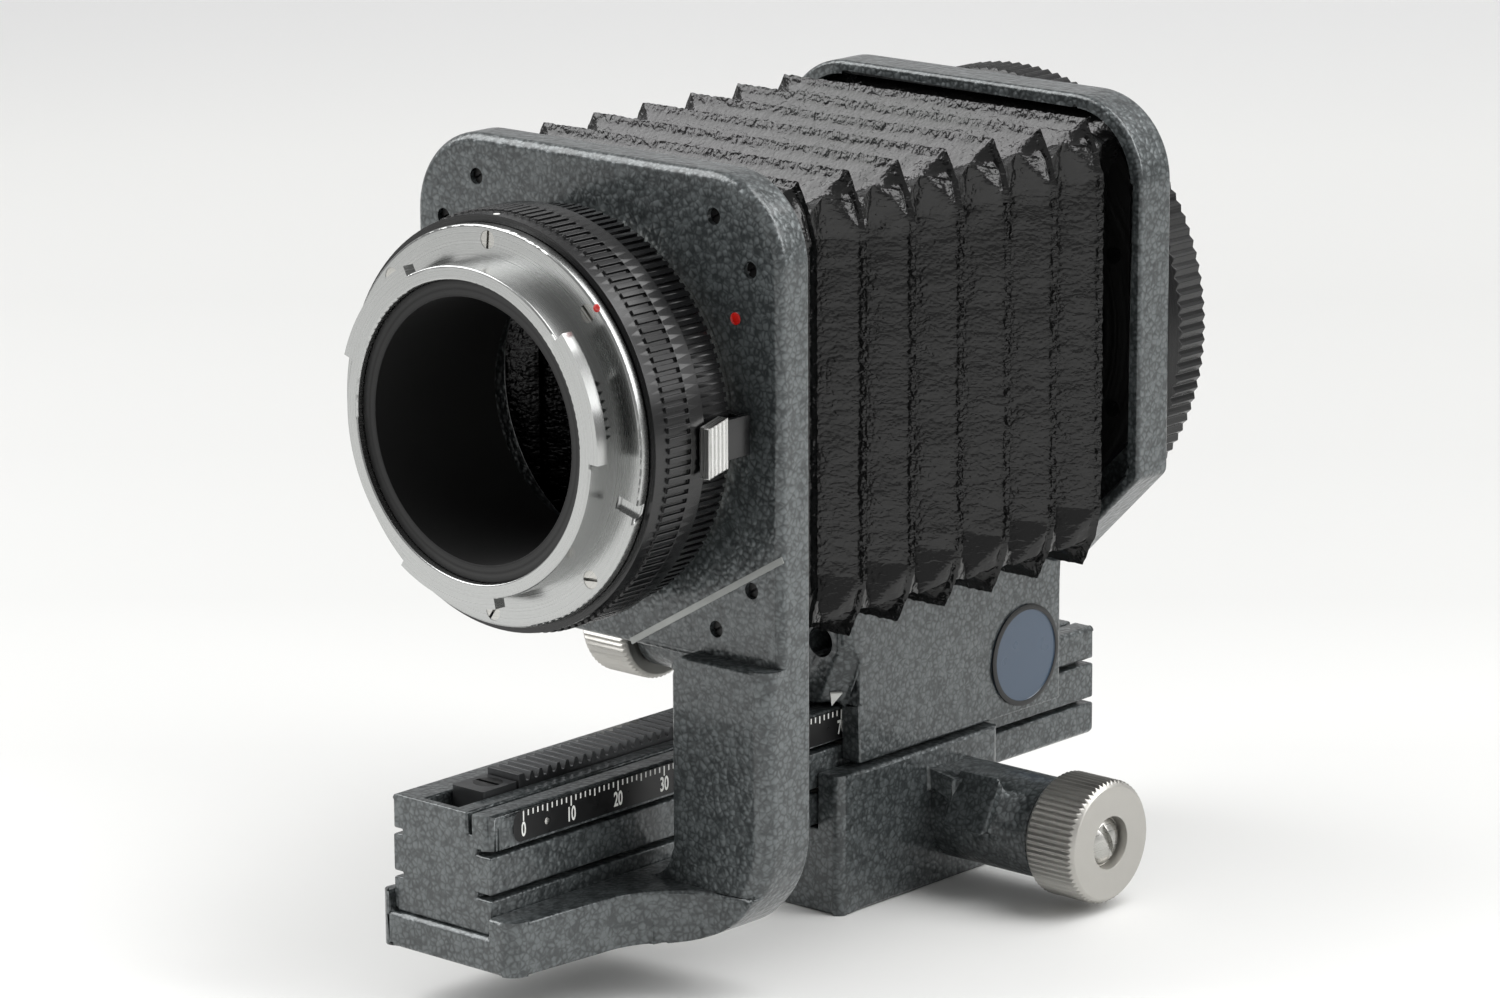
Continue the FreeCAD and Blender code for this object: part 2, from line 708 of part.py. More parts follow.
# ---------------------------------------------------------------------------------------------------------
# Camera standard and what is screwed to it
# ---------------------------------------------------------------------------------------------------------
def make_camera_standard():
    """Casting in the shape of a C: foot under the rail, arm at the right and plate round the mount."""
    body = new_body("camera_standard")
    low = mm("foot_low")
    wall_top = mm("foot_wall_top")
    left = -mm("foot_left")
    inner = mm("arm_inner")
    plate = new_sketch(body, "plate", "XZ", EXPR_PLATE_FRONT)
    corner = mm("plate_corner")
    draw(plate, [(-half_width, mm("plate_low"), corner), (half_width, mm("plate_low")),
                 (half_width, mm("standard_top"), corner), (-half_width, mm("standard_top"), corner)])
    pad(plate, "Sizes.plate_thickness")

    def is_front_edge(edge):
        """Outer edge of the plate's front face."""
        box = edge.BoundBox
        return abs(box.YMin - plate_front) < 1e-4 and abs(box.YMax - plate_front) < 1e-4

    round_edges(body, "Sizes.plate_edge_radius", is_front_edge)

    front_view = new_sketch(body, "front_view", "XZ", "-Sizes.rail_front - Sizes.foot_ledge")
    draw(front_view, [(left, low), (half_width, low, mm("arm_corner")), (half_width, mm("arm_top")),
                      (inner, mm("arm_top"), 2.5), (inner, wall_top, mm("arm_foot_radius")), (left, wall_top)])
    pad(front_view, "Sizes.rail_front + Sizes.foot_ledge - Sizes.plate_back_front")

    side_view = new_sketch(body, "side_view", "YZ", "-Sizes.foot_left")
    draw(side_view, [(standard_near - 1, wall_top), (arm_front, wall_top), (arm_front, mm("arm_top") + 1),
                     (standard_near - 1, mm("arm_top") + 1)])
    pocket(side_view, "Sizes.foot_left + Sizes.standard_width")

    def is_arm_edge(edge):
        """Outer edge of the arm's front face, from its top round the bend."""
        box = edge.BoundBox
        flat = abs(box.YMin - arm_front) < 1e-4 and abs(box.YMax - arm_front) < 1e-4
        return flat and box.XMax > half_width - 1e-4 and box.ZMax - box.ZMin > mm("arm_edge_radius")

    round_edges(body, "Sizes.arm_edge_radius", is_arm_edge)

    sweep = mm("foot_sweep")
    right = mm("foot_right")
    plan = new_sketch(body, "plan", "XY", "Sizes.foot_low")
    flare_end = half_width - 5.0
    draw(plan, [(right - 1.2, standard_near - 3), (right - 1.2, standard_near + 3), (right, arm_front - sweep - 1.5),
                (right + 0.8, arm_front - 1.8, sweep), (flare_end, arm_front), (half_width + 1, arm_front),
                (half_width + 1, standard_near - 3)])
    pocket(plan, "Sizes.foot_wall_top - Sizes.foot_low + 1")
    corners = new_sketch(body, "foot_corners", "XY", "Sizes.foot_low")
    draw_corner_cut(corners, right - 1.2, standard_near, mm("foot_corner"), -1, 1)
    draw_corner_cut(corners, left, standard_near, mm("foot_corner") - 0.8, 1, 1)
    pocket(corners, "Sizes.foot_wall_top - Sizes.foot_low")

    trough = new_sketch(body, "rail_trough", "XZ", "-Sizes.rail_front - Sizes.foot_ledge")
    half = rail_half + mm("seat_fit")
    draw(trough, rectangle(-half, mm("rail_bottom"), half, wall_top + 1))
    pocket(trough, "Sizes.rail_front + Sizes.foot_ledge")

    throat = new_sketch(body, "throat", "XZ", EXPR_PLATE_FRONT, up="Sizes.axis_height")
    draw_circle(throat, 0, 0, "Sizes.throat_radius")
    pocket(throat, "Sizes.plate_thickness")

    recesses = new_sketch(body, "screw_recesses", "XZ", EXPR_PLATE_FRONT, up="Sizes.axis_height")
    holes = new_sketch(body, "screw_holes", "XZ", EXPR_PLATE_FRONT, up="Sizes.axis_height")
    for x, z in plate_screw_places():
        draw_circle(recesses, x, z, "Sizes.plate_screw_recess")
        draw_circle(holes, x, z, "Sizes.plate_screw_shank")
    pocket(recesses, "Sizes.plate_screw_depth")
    pocket(holes, "Sizes.plate_thickness")

    heads = new_sketch(body, "foot_counterbores", "XY", "Sizes.foot_low")
    shanks = new_sketch(body, "foot_holes", "XY", "Sizes.foot_low")
    for x, y in foot_screw_places():
        draw_circle(heads, x, y, "Sizes.foot_screw_head")
        draw_circle(shanks, x, y, "Sizes.foot_screw_shank")
    pocket(heads, "2.2")
    pocket(shanks, "Sizes.rail_bottom - Sizes.foot_low")


def plate_screw_places():
    """The eight screws of the bellows frame, two at each corner, about the optical axis."""
    near = mm("plate_screw_near")
    far = mm("plate_screw_far")
    return [(x * a, z * b) for x in (-1, 1) for z in (-1, 1) for a, b in ((near, far), (far, near))]


def make_standard_screws():
    """Screws of the foot and of the plate."""
    foot = screw(mm("foot_screw_head") - 0.1, 1.8, mm("foot_screw_shank"), mm("foot_screw_length") - 0.4)
    free_part("foot_screws", Part.makeCompound([
        placed(foot, Vector(x, y, mm("foot_low") + 0.4), DOWN) for x, y in foot_screw_places()]))
    length = mm("plate_thickness") - mm("plate_screw_depth") + 0.9 + mm("frame_thickness")
    small = screw(mm("plate_screw_recess") - 0.1, 0.9, mm("plate_screw_shank"), length)
    head_level = plate_front + mm("plate_screw_depth") - 0.9
    free_part("plate_screws", Part.makeCompound([
        placed(small, Vector(x, head_level, axis_z + z), TO_CAMERA, 30) for x, z in plate_screw_places()]))


def make_front_frame():
    """Flat frame that clamps the bellows to the back of the plate."""
    body = new_body("front_bellows_frame")
    outline = new_sketch(body, "outline", "XZ", "-Sizes.plate_back_front", up="Sizes.axis_height")
    outer = mm("frame_outer_half")
    inner = mm("frame_inner_half")
    draw(outline, rectangle(-outer, -outer, outer, outer, mm("frame_corner")),
         rectangle(-inner, -inner, inner, inner, mm("frame_corner") - 4))
    pad(outline, "Sizes.frame_thickness")
    holes = new_sketch(body, "holes", "XZ", "-Sizes.plate_back_front", up="Sizes.axis_height")
    for x, z in plate_screw_places():
        draw_circle(holes, x, z, "Sizes.plate_screw_shank")
    pocket(holes, "Sizes.frame_thickness")


def octagon(half, top, corner, inset=0.0):
    """Corners of the bellows' section: a square about the optical axis with its corners cut."""
    reach = half - inset
    cut = corner - inset * (2 - math.sqrt(2))
    low = -top + inset
    high = top - inset
    return [(reach, low + cut), (reach, high - cut), (reach - cut, high), (-reach + cut, high),
            (-reach, high - cut), (-reach, low + cut), (-reach + cut, low), (reach - cut, low)]


def make_bellows():
    """Pleated tube, open at both ends: ridges and valleys of a square section with cut corners."""
    start = plate_back + mm("frame_thickness")
    end = lens_front + mm("lens_recess_depth") - mm("frame_thickness") - mm("sliding_gap")
    ridge = mm("bellows_half")
    valley = mm("bellows_valley_half")
    ridge_top = axis_z - mm("bellows_low")
    valley_top = ridge_top - (ridge - valley)
    end_half = mm("frame_outer_half") - 1.2
    places = [(start, end_half, end_half, mm("frame_corner"))]
    first = start + mm("bellows_first_ridge")
    for index in range(int(mm("bellows_ridges"))):
        y = first + index * mm("bellows_pitch")
        places.append((y, ridge, ridge_top, mm("bellows_corner")))
        if index < mm("bellows_ridges") - 1:
            places.append((y + mm("bellows_pitch") / 2, valley, valley_top, mm("bellows_corner")))
    places.append((end, valley + 1.6, valley_top + 1.6, mm("bellows_corner")))

    def section(place, inset):
        y, half, top, corner = place
        return [Vector(x, y, axis_z + z) for x, z in octagon(half, top, corner, inset)]

    faces = []
    for inset in (0.0, mm("bellows_wall")):
        rings = [section(place, inset) for place in places]
        for lower, upper in zip(rings, rings[1:]):
            for index in range(8):
                following = (index + 1) % 8
                quad = [lower[index], lower[following], upper[following], upper[index], lower[index]]
                faces.append(Part.Face(Part.makePolygon(quad)))
    for place in (places[0], places[-1]):
        outer = section(place, 0.0)
        inner = section(place, mm("bellows_wall"))
        for index in range(8):
            following = (index + 1) % 8
            quad = [outer[index], outer[following], inner[following], inner[index], outer[index]]
            faces.append(Part.Face(Part.makePolygon(quad)))
    solid = Part.makeSolid(Part.makeShell(faces))
    if solid.Volume < 0:
        solid.reverse()
    free_part("bellows", solid)


# ---------------------------------------------------------------------------------------------------------
# Camera mount
# ---------------------------------------------------------------------------------------------------------
def make_base_ring():
    """Flat ring on the plate with the slot of the release lever, and the hub that the mount turns on."""
    ring = new_body("mount_base_ring")
    front = plate_front - mm("base_ring_thickness")
    profile = along_y(ring, "profile")
    bore = mm("hub_radius") + mm("running_fit")
    draw(profile, [(plate_front, bore), (plate_front, mm("base_ring_radius")),
                   (front, mm("base_ring_radius"), 0.5), (front, bore)])
    turn(profile)
    slot = new_sketch(ring, "lever_slot", "XZ", f"{EXPR_PLATE_FRONT} - Sizes.base_ring_thickness",
                      up="Sizes.axis_height")
    middle = mm("lever_skew") - mm("lever_drop")
    reach = mm("lever_arm_width") / 2 + mm("sliding_gap")
    travel = mm("base_ring_radius") * math.radians(mm("lever_travel"))
    draw(slot, rectangle(mm("base_ring_radius") - mm("lever_slot_reach"), middle - reach,
                         mm("base_ring_radius") + 2, middle + reach + travel))
    pocket(slot, "Sizes.base_ring_thickness / 2")

    inner = mm("hub_radius") - mm("hub_wall")
    tip = plate_front - mm("hub_reach")
    hub = new_body("mount_hub")
    tube = along_y(hub, "profile")
    draw(tube, rectangle(tip, inner, plate_front, mm("hub_radius")))
    turn(tube)

    retainer = new_body("mount_retainer")
    collar = along_y(retainer, "profile")
    draw(collar, rectangle(tip - mm("retainer_length"), inner, tip, mm("hub_radius") + mm("retainer_lip")))
    turn(collar)


def make_mount_ring():
    """Black body of the turning mount: ribs at the back, seat of the number ring in front."""
    body = new_body("mount_ring")
    back = plate_front - mm("base_ring_thickness") - mm("sliding_gap")
    front = -mm("bayonet_front") + mm("bayonet_flange")
    knurl = new_sketch(body, "knurl", "XZ", f"{back} - Sizes.mount_knurl_length", up="Sizes.axis_height")
    draw(knurl, ribbed(mm("mount_ring_radius"), mm("ring_rib_depth"), int(mm("ring_ribs"))))
    draw_circle(knurl, 0, 0, "Sizes.hub_radius + Sizes.running_fit")
    pad(knurl, "Sizes.mount_knurl_length")
    core = along_y(body, "core")
    hole = mm("hub_radius") + mm("running_fit")
    draw(core, rectangle(front, hole, back - mm("mount_knurl_length"), mm("mount_step_radius")))
    turn(core)
    retainer_room = along_y(body, "retainer_room")
    draw(retainer_room, rectangle(front - 1, mm("barrel_inner"), plate_front - mm("hub_reach") + mm("sliding_gap"),
                                  mm("hub_radius") + mm("retainer_lip") + mm("sliding_gap")))
    turn(retainer_room, cut=True)
    holes = new_sketch(body, "screw_holes", "XZ", "-Sizes.bayonet_front + Sizes.bayonet_flange",
                       up="Sizes.axis_height")
    for x, z in bayonet_screw_places():
        draw_circle(holes, x, z, "Sizes.bayonet_screw_shank")
    pocket(holes, "Sizes.bayonet_screw_length - Sizes.bayonet_flange")


def bayonet_screw_places():
    """Centres of the flange's six screws about the optical axis."""
    circle = mm("bayonet_screw_circle")
    return [(circle * math.cos(math.radians(a)), circle * math.sin(math.radians(a)))
            for a in (135, 90, 45, -45, -90, -135)]


def make_number_ring():
    """Grip ring on the front of the mount: a smooth lip, a ribbed band and a smooth band behind it."""
    body = new_body("number_ring")
    back = plate_front - mm("base_ring_thickness") - mm("sliding_gap") - mm("mount_knurl_length")
    near = f"{back} - Sizes.sliding_gap - Sizes.number_ring_length"
    bore = "Sizes.mount_step_radius + Sizes.running_fit"
    lip = new_sketch(body, "lip", "XZ", near, up="Sizes.axis_height")
    draw_circle(lip, 0, 0, "Sizes.number_ring_radius - Sizes.ring_rib_depth")
    draw_circle(lip, 0, 0, bore)
    pad(lip, "Sizes.number_ring_lip")
    grip = new_sketch(body, "grip", "XZ", f"{near} + Sizes.number_ring_lip", up="Sizes.axis_height")
    draw(grip, ribbed(mm("number_ring_radius"), mm("ring_rib_depth"), int(mm("ring_ribs"))))
    draw_circle(grip, 0, 0, bore)
    pad(grip, "Sizes.number_ring_rib_length")
    band = new_sketch(body, "band", "XZ", f"{near} + Sizes.number_ring_lip + Sizes.number_ring_rib_length",
                      up="Sizes.axis_height")
    draw_circle(band, 0, 0, "Sizes.number_ring_radius")
    draw_circle(band, 0, 0, bore)
    pad(band, "Sizes.number_ring_length - Sizes.number_ring_lip - Sizes.number_ring_rib_length")


def make_bayonet():
    """Silver flange and barrel with three lugs, screwed to the turning mount."""
    body = new_body("camera_bayonet")
    face = -mm("bayonet_front")
    profile = along_y(body, "profile")
    draw(profile, [(face + mm("bayonet_flange"), mm("barrel_inner")),
                   (face + mm("bayonet_flange"), mm("bayonet_radius")), (face, mm("bayonet_radius"), 0.4),
                   (face, mm("barrel_radius")), (face - mm("barrel_reach"), mm("barrel_radius"), 0.3),
                   (face - mm("barrel_reach"), mm("barrel_inner"), 0.3)])
    turn(profile)
    lug = new_sketch(body, "lugs", "XZ", "-Sizes.bayonet_front - Sizes.barrel_reach", up="Sizes.axis_height")
    inner = mm("barrel_radius") - 0.4
    outer = mm("barrel_radius") + mm("lug_height")
    half = mm("lug_angle") / 2
    for turn_by in (0, 120, 240):
        angles = [math.radians(mm("lug_turn") + turn_by + offset) for offset in (-half, 0, half)]
        rim = [Vector(outer * math.cos(a), outer * math.sin(a)) for a in angles]
        root = [Vector(inner * math.cos(a), inner * math.sin(a)) for a in angles]
        lug.addGeometry([Part.Arc(*rim), Part.LineSegment(rim[2], root[2]),
                         Part.Arc(root[2], root[1], root[0]), Part.LineSegment(root[0], rim[0])], False)
    pad(lug, "Sizes.lug_length")
    notch = new_sketch(body, "lock_notch", "XZ", "-Sizes.bayonet_front", up="Sizes.axis_height")
    angle = math.radians(mm("lock_notch_angle"))
    along = Vector(math.cos(angle), math.sin(angle))
    aside = Vector(-math.sin(angle), math.cos(angle)) * (mm("lock_notch_width") / 2)
    low = along * mm("lock_notch_inner")
    high = along * (mm("bayonet_radius") + 1)
    draw(notch, [(p.x, p.y) for p in (low - aside, high - aside, high + aside, low + aside)])
    pocket(notch, "Sizes.bayonet_flange * 0.6")
    recesses = new_sketch(body, "screw_holes", "XZ", "-Sizes.bayonet_front", up="Sizes.axis_height")
    for x, z in bayonet_screw_places():
        draw_circle(recesses, x, z, "Sizes.bayonet_screw_head")
    pocket(recesses, "Sizes.bayonet_flange")
    shape = screw(mm("bayonet_screw_head"), mm("bayonet_flange") - 0.05, mm("bayonet_screw_shank"),
                  mm("bayonet_screw_length") - 0.05)
    free_part("bayonet_screws", Part.makeCompound([
        placed(shape, Vector(x, face + 0.05, axis_z + z), TO_CAMERA, 35 + 50 * index)
        for index, (x, z) in enumerate(bayonet_screw_places())]))


def make_camera_tube():
    """Black sleeve in the barrel: a lip that fills the barrel and a narrower tube behind it."""
    body = new_body("camera_tube")
    front = -mm("bayonet_front") - mm("barrel_reach") + mm("tube_lip")
    lip_back = -mm("bayonet_front") + mm("bayonet_flange")
    outer = mm("barrel_inner") - mm("running_fit")
    inner = mm("tube_inner")
    profile = along_y(body, "profile")
    draw(profile, [(front, inner), (front, outer), (lip_back, outer), (lip_back, inner + 1),
                   (front + mm("tube_length"), inner + 1), (front + mm("tube_length"), inner)])
    turn(profile)


def make_release_lever():
    """Small lever at the side of the mount: a ribbed grip, an arm and the foot in the base ring's slot."""
    back = plate_front - mm("base_ring_thickness")
    rim = back - mm("sliding_gap") - mm("mount_knurl_length")
    front = rim - mm("lever_overhang")
    end = front + mm("lever_length")
    low = mm("number_ring_radius") + mm("sliding_gap")
    high = low + mm("lever_height")
    skew = mm("lever_skew")
    bottom = axis_z - mm("lever_drop") - mm("lever_width") / 2
    top = bottom + mm("lever_width")
    corners = [Vector(low, y, z) for y, z in
               ((front, bottom), (end, bottom + skew), (end, top + skew), (front, top), (front, bottom))]
    grip = Part.Face(Part.makePolygon(corners)).extrude(Vector(high - low, 0, 0))

    arm_width = mm("lever_arm_width")
    arm_low = axis_z - mm("lever_drop") + skew - arm_width / 2
    foot_inner = mm("base_ring_radius") - mm("lever_foot_reach")
    foot_depth = mm("base_ring_thickness") / 2 - mm("sliding_gap")
    arm_start = end - mm("lever_length") / 2
    arm = Part.makeBox(mm("lever_arm_height"), back + foot_depth - arm_start, arm_width,
                       Vector(low, arm_start, arm_low))
    foot = Part.makeBox(low + mm("lever_arm_height") - foot_inner, foot_depth, arm_width,
                        Vector(foot_inner, back, arm_low))
    shape = grip.fuse([arm, foot])
    depth = mm("lever_rib_depth")
    ribs = int(mm("lever_ribs"))
    pitch = mm("lever_length") / ribs
    for index in range(ribs):
        y = front + (index + 0.5) * pitch - depth / 2
        shape = shape.cut(Part.makeBox(depth, depth, top + skew - bottom, Vector(high - depth, y, bottom)))
    free_part("release_lever", shape.removeSplitter())


# ---------------------------------------------------------------------------------------------------------
# Carriage with the focusing drive
# ---------------------------------------------------------------------------------------------------------
def make_carriage():
    """Cast block with the rail's channel, the knob's neck, the pinion's room and the socket's seat."""
    body = new_body("tripod_carriage")
    half = mm("carriage_width") / 2
    near = -mm("carriage_front")
    far = near + mm("carriage_length")
    plan = new_sketch(body, "plan", "XY")
    draw(plan, rectangle(-half, near, half, far, mm("carriage_corner")))
    pad(plan, "Sizes.carriage_height")
    neck = new_sketch(body, "neck", "YZ", "0", across="Sizes.focus_axis_place", up=EXPR_FOCUS_Z)
    draw_circle(neck, 0, 0, "Sizes.neck_radius")
    pad(neck, "Sizes.neck_end")
    cast_pad = new_sketch(body, "neck_pad", "YZ", "Sizes.neck_pad_start",
                          across="Sizes.focus_axis_place", up=EXPR_FOCUS_Z)
    flat = mm("neck_pad_height")
    low_side = math.radians(179)
    high_side = math.radians(127)
    middle = (low_side + high_side) / 2
    reach = flat / math.cos((low_side - high_side) / 2)
    draw(cast_pad, [(0, 0), (reach * math.cos(high_side), reach * math.sin(high_side)),
                    (reach * math.cos(low_side), reach * math.sin(low_side))])
    pad(cast_pad, "Sizes.neck_pad_length")
    rib = new_sketch(body, "rib", "XZ", "Sizes.focus_axis_place + Sizes.neck_pad_height * %.4f" %
                     math.cos(middle))
    draw(rib, [(half - 1, 15.8), (half - 1, 19.2), (mm("neck_pad_start") + 0.5, 18.2),
               (mm("neck_pad_start") + 0.5, 15.2)])
    pad(rib, "4.0")

    channel = new_sketch(body, "rail_channel", "XZ", "-Sizes.carriage_front")
    side = rail_half + mm("seat_fit")
    draw(channel, rectangle(-side, mm("rail_bottom") - mm("seat_fit"), side, mm("carriage_height") + 1))
    pocket(channel, "Sizes.carriage_length")
    anchors = new_sketch(body, "strip_slots", "XZ", "-Sizes.strip_length / 2")
    strip_half = mm("groove_height") / 2 - mm("strip_fit")
    level = mm("lower_groove_level")
    for left, right in ((-side - mm("strip_anchor"), -side + 1), (side - 1, side + mm("strip_anchor"))):
        draw(anchors, rectangle(left, level - strip_half, right, level + strip_half))
    pocket(anchors, "Sizes.strip_length")
    room = new_sketch(body, "pinion_room", "YZ",
                      "-Sizes.rack_centre - Sizes.pinion_face / 2 - Sizes.sliding_gap",
                      across="Sizes.focus_axis_place", up=EXPR_FOCUS_Z)
    draw_circle(room, 0, 0, "Sizes.pinion_teeth * Sizes.gear_module / 2 + Sizes.gear_module"
                            " + Sizes.sliding_gap")
    pocket(room, "Sizes.pinion_face + 2 * Sizes.sliding_gap")
    bore = new_sketch(body, "shaft_bore", "YZ", "-Sizes.carriage_width / 2",
                      across="Sizes.focus_axis_place", up=EXPR_FOCUS_Z)
    draw_circle(bore, 0, 0, "Sizes.shaft_radius + Sizes.running_fit")
    pocket(bore, "Sizes.carriage_width / 2 + Sizes.neck_end")
    for name, level_of, length in (
            ("left_bush_seat", "-Sizes.carriage_width / 2", "Sizes.wall_bush_length"),
            ("right_bush_seat", "Sizes.neck_end - Sizes.bush_length", "Sizes.bush_length")):
        seat = new_sketch(body, name, "YZ", level_of, across="Sizes.focus_axis_place", up=EXPR_FOCUS_Z)
        draw_circle(seat, 0, 0, "Sizes.shaft_radius + Sizes.bush_wall")
        pocket(seat, length)
    socket = new_sketch(body, "socket_seat", "XY")
    draw_circle(socket, 0, 0, "Sizes.socket_radius + Sizes.socket_wall")
    pocket(socket, "Sizes.socket_length")


def make_socket():
    """Tripod bush with its tapped bore, open at the underside."""
    body = new_body("tripod_socket")
    ring = new_sketch(body, "ring", "XY")
    draw_circle(ring, 0, 0, "Sizes.socket_radius + Sizes.socket_wall")
    draw_circle(ring, 0, 0, "Sizes.socket_radius")
    pad(ring, "Sizes.socket_length")


def guide_strips(label, level, wall):
    """Two strips from the side walls into one pair of the rail's grooves. wall is (near, length)."""
    thickness = mm("groove_height") - 2 * mm("strip_fit")
    near, length = wall
    side = rail_half + mm("seat_fit")
    anchor = mm("strip_anchor")
    left_tip = rail_half - mm("groove_depth_left") + mm("sliding_gap")
    right_tip = rail_half - mm("groove_depth_right") + mm("sliding_gap")
    low = level - thickness / 2
    left = Part.makeBox(side + anchor - left_tip, length, thickness, Vector(-side - anchor, near, low))
    right = Part.makeBox(side + anchor - right_tip, length, thickness, Vector(right_tip, near, low))
    free_part(label, Part.makeCompound([left, right]))


def bush(length, flange):
    """Plain bush along Z from zero to -length, with an optional flange above zero."""
    outer = Part.makeCylinder(bush_radius, length, Vector(0, 0, -length))
    if flange:
        outer = outer.fuse(Part.makeCylinder(mm("bush_flange_radius"), mm("bush_flange")))
    bore = Part.makeCylinder(shaft_hole, length + 2, Vector(0, 0, -length - 1))
    return outer.cut(bore)


def make_focus_bushes():
    """Flanged bush at the end of the neck and a plain one in the left wall."""
    right = placed(bush(mm("bush_length"), True), Vector(mm("neck_end"), focus_axis_y, focus_axis_z), RIGHT)
    left = placed(bush(mm("wall_bush_length"), False),
                  Vector(-mm("carriage_width") / 2, focus_axis_y, focus_axis_z), LEFT)
    free_part("focus_shaft_bushes", Part.makeCompound([right, left]))


def pinion_shaft(label, start, end, axis_y, axis_z, side, tooth_angle):
    """Shaft with its pinion in one piece. side is the direction of the knob; the screw's hole is there."""
    shaft = Part.makeCylinder(mm("shaft_radius"), end - start, Vector(start, 0, 0), RIGHT)
    points = gear_points(int(mm("pinion_teeth")), mm("gear_module"), tooth_angle)
    wire = Part.makePolygon([Vector(0, p.x, p.y) for p in points] + [Vector(0, points[0].x, points[0].y)])
    gear = Part.Face(wire).extrude(Vector(mm("pinion_face"), 0, 0))
    gear.translate(Vector(rack_middle - mm("pinion_face") / 2, 0, 0))
    depth = mm("knob_screw_length") - mm("knob_web") + 0.5
    hole_start = end if side > 0 else start
    hole = Part.makeCylinder(mm("knob_screw_shank"), depth, Vector(hole_start, 0, 0), Vector(-side, 0, 0))
    free_part(label, shaft.fuse(gear).cut(hole).removeSplitter(), Vector(0, axis_y, axis_z))


def knob(label, inner_face, side, y, z):
    """Ribbed knob with a recess for its screw. inner_face is the X of the face towards the body."""
    body = new_body(label)
    length = mm("knob_length")
    outer_face = inner_face + side * length
    low = min(inner_face, outer_face)
    ribs = new_sketch(body, "ribs", "YZ", f"{low}", across=f"{y}", up=f"{z}")
    draw(ribs, fluted(mm("knob_radius"), mm("flute_depth"), int(mm("knob_flutes"))))
    pad(ribs, "Sizes.knob_length")
    recess_x = outer_face - mm("knob_recess_depth") if side > 0 else outer_face
    recess = new_sketch(body, "recess", "YZ", f"{recess_x}", across=f"{y}", up=f"{z}")
    draw_circle(recess, 0, 0, "Sizes.knob_recess_radius")
    pocket(recess, "Sizes.knob_recess_depth")
    hole = new_sketch(body, "screw_hole", "YZ", f"{low}", across=f"{y}", up=f"{z}")
    draw_circle(hole, 0, 0, "Sizes.knob_screw_shank")
    pocket(hole, "Sizes.knob_length")
    bore_length = length - mm("knob_recess_depth") - mm("knob_web")
    bore_x = low if side > 0 else inner_face - bore_length
    bore = new_sketch(body, "bore", "YZ", f"{bore_x}", across=f"{y}", up=f"{z}")
    draw_circle(bore, 0, 0, "Sizes.shaft_radius")
    pocket(bore, "Sizes.knob_length - Sizes.knob_recess_depth - Sizes.knob_web")
    edge = 0.9
    for place, inward in ((low, 1), (low + length, -1)):
        bevel = along_x(body, f"bevel_{inward + 1}", f"{y}", f"{z}")
        radius = mm("knob_radius")
        draw(bevel, [(place, radius - edge), (place, radius + 1), (place + inward * edge, radius + 1),
                     (place + inward * edge, radius)])
        turn(bevel, cut=True)
    head_level = outer_face - side * (mm("knob_recess_depth") - 0.4)
    shape = screw(mm("knob_screw_head"), 0.4, mm("knob_screw_shank"), mm("knob_screw_length") + 0.4,
                  dome=mm("knob_screw_dome"))
    free_part(label + "_screw", placed(shape, Vector(head_level, y, z), RIGHT if side > 0 else LEFT, 25))


def make_focus_drive():
    """Shaft with pinion, knob and screw on the right side."""
    inner_face = mm("neck_end") + mm("bush_flange") + mm("knob_gap")
    end = inner_face + mm("knob_length") - mm("knob_recess_depth") - mm("knob_web")
    pinion_shaft("focus_shaft", -mm("carriage_width") / 2 + 0.5, end, focus_axis_y, focus_axis_z, 1,
                 math.pi / 2)
    knob("focus_knob", inner_face, 1, focus_axis_y, focus_axis_z)


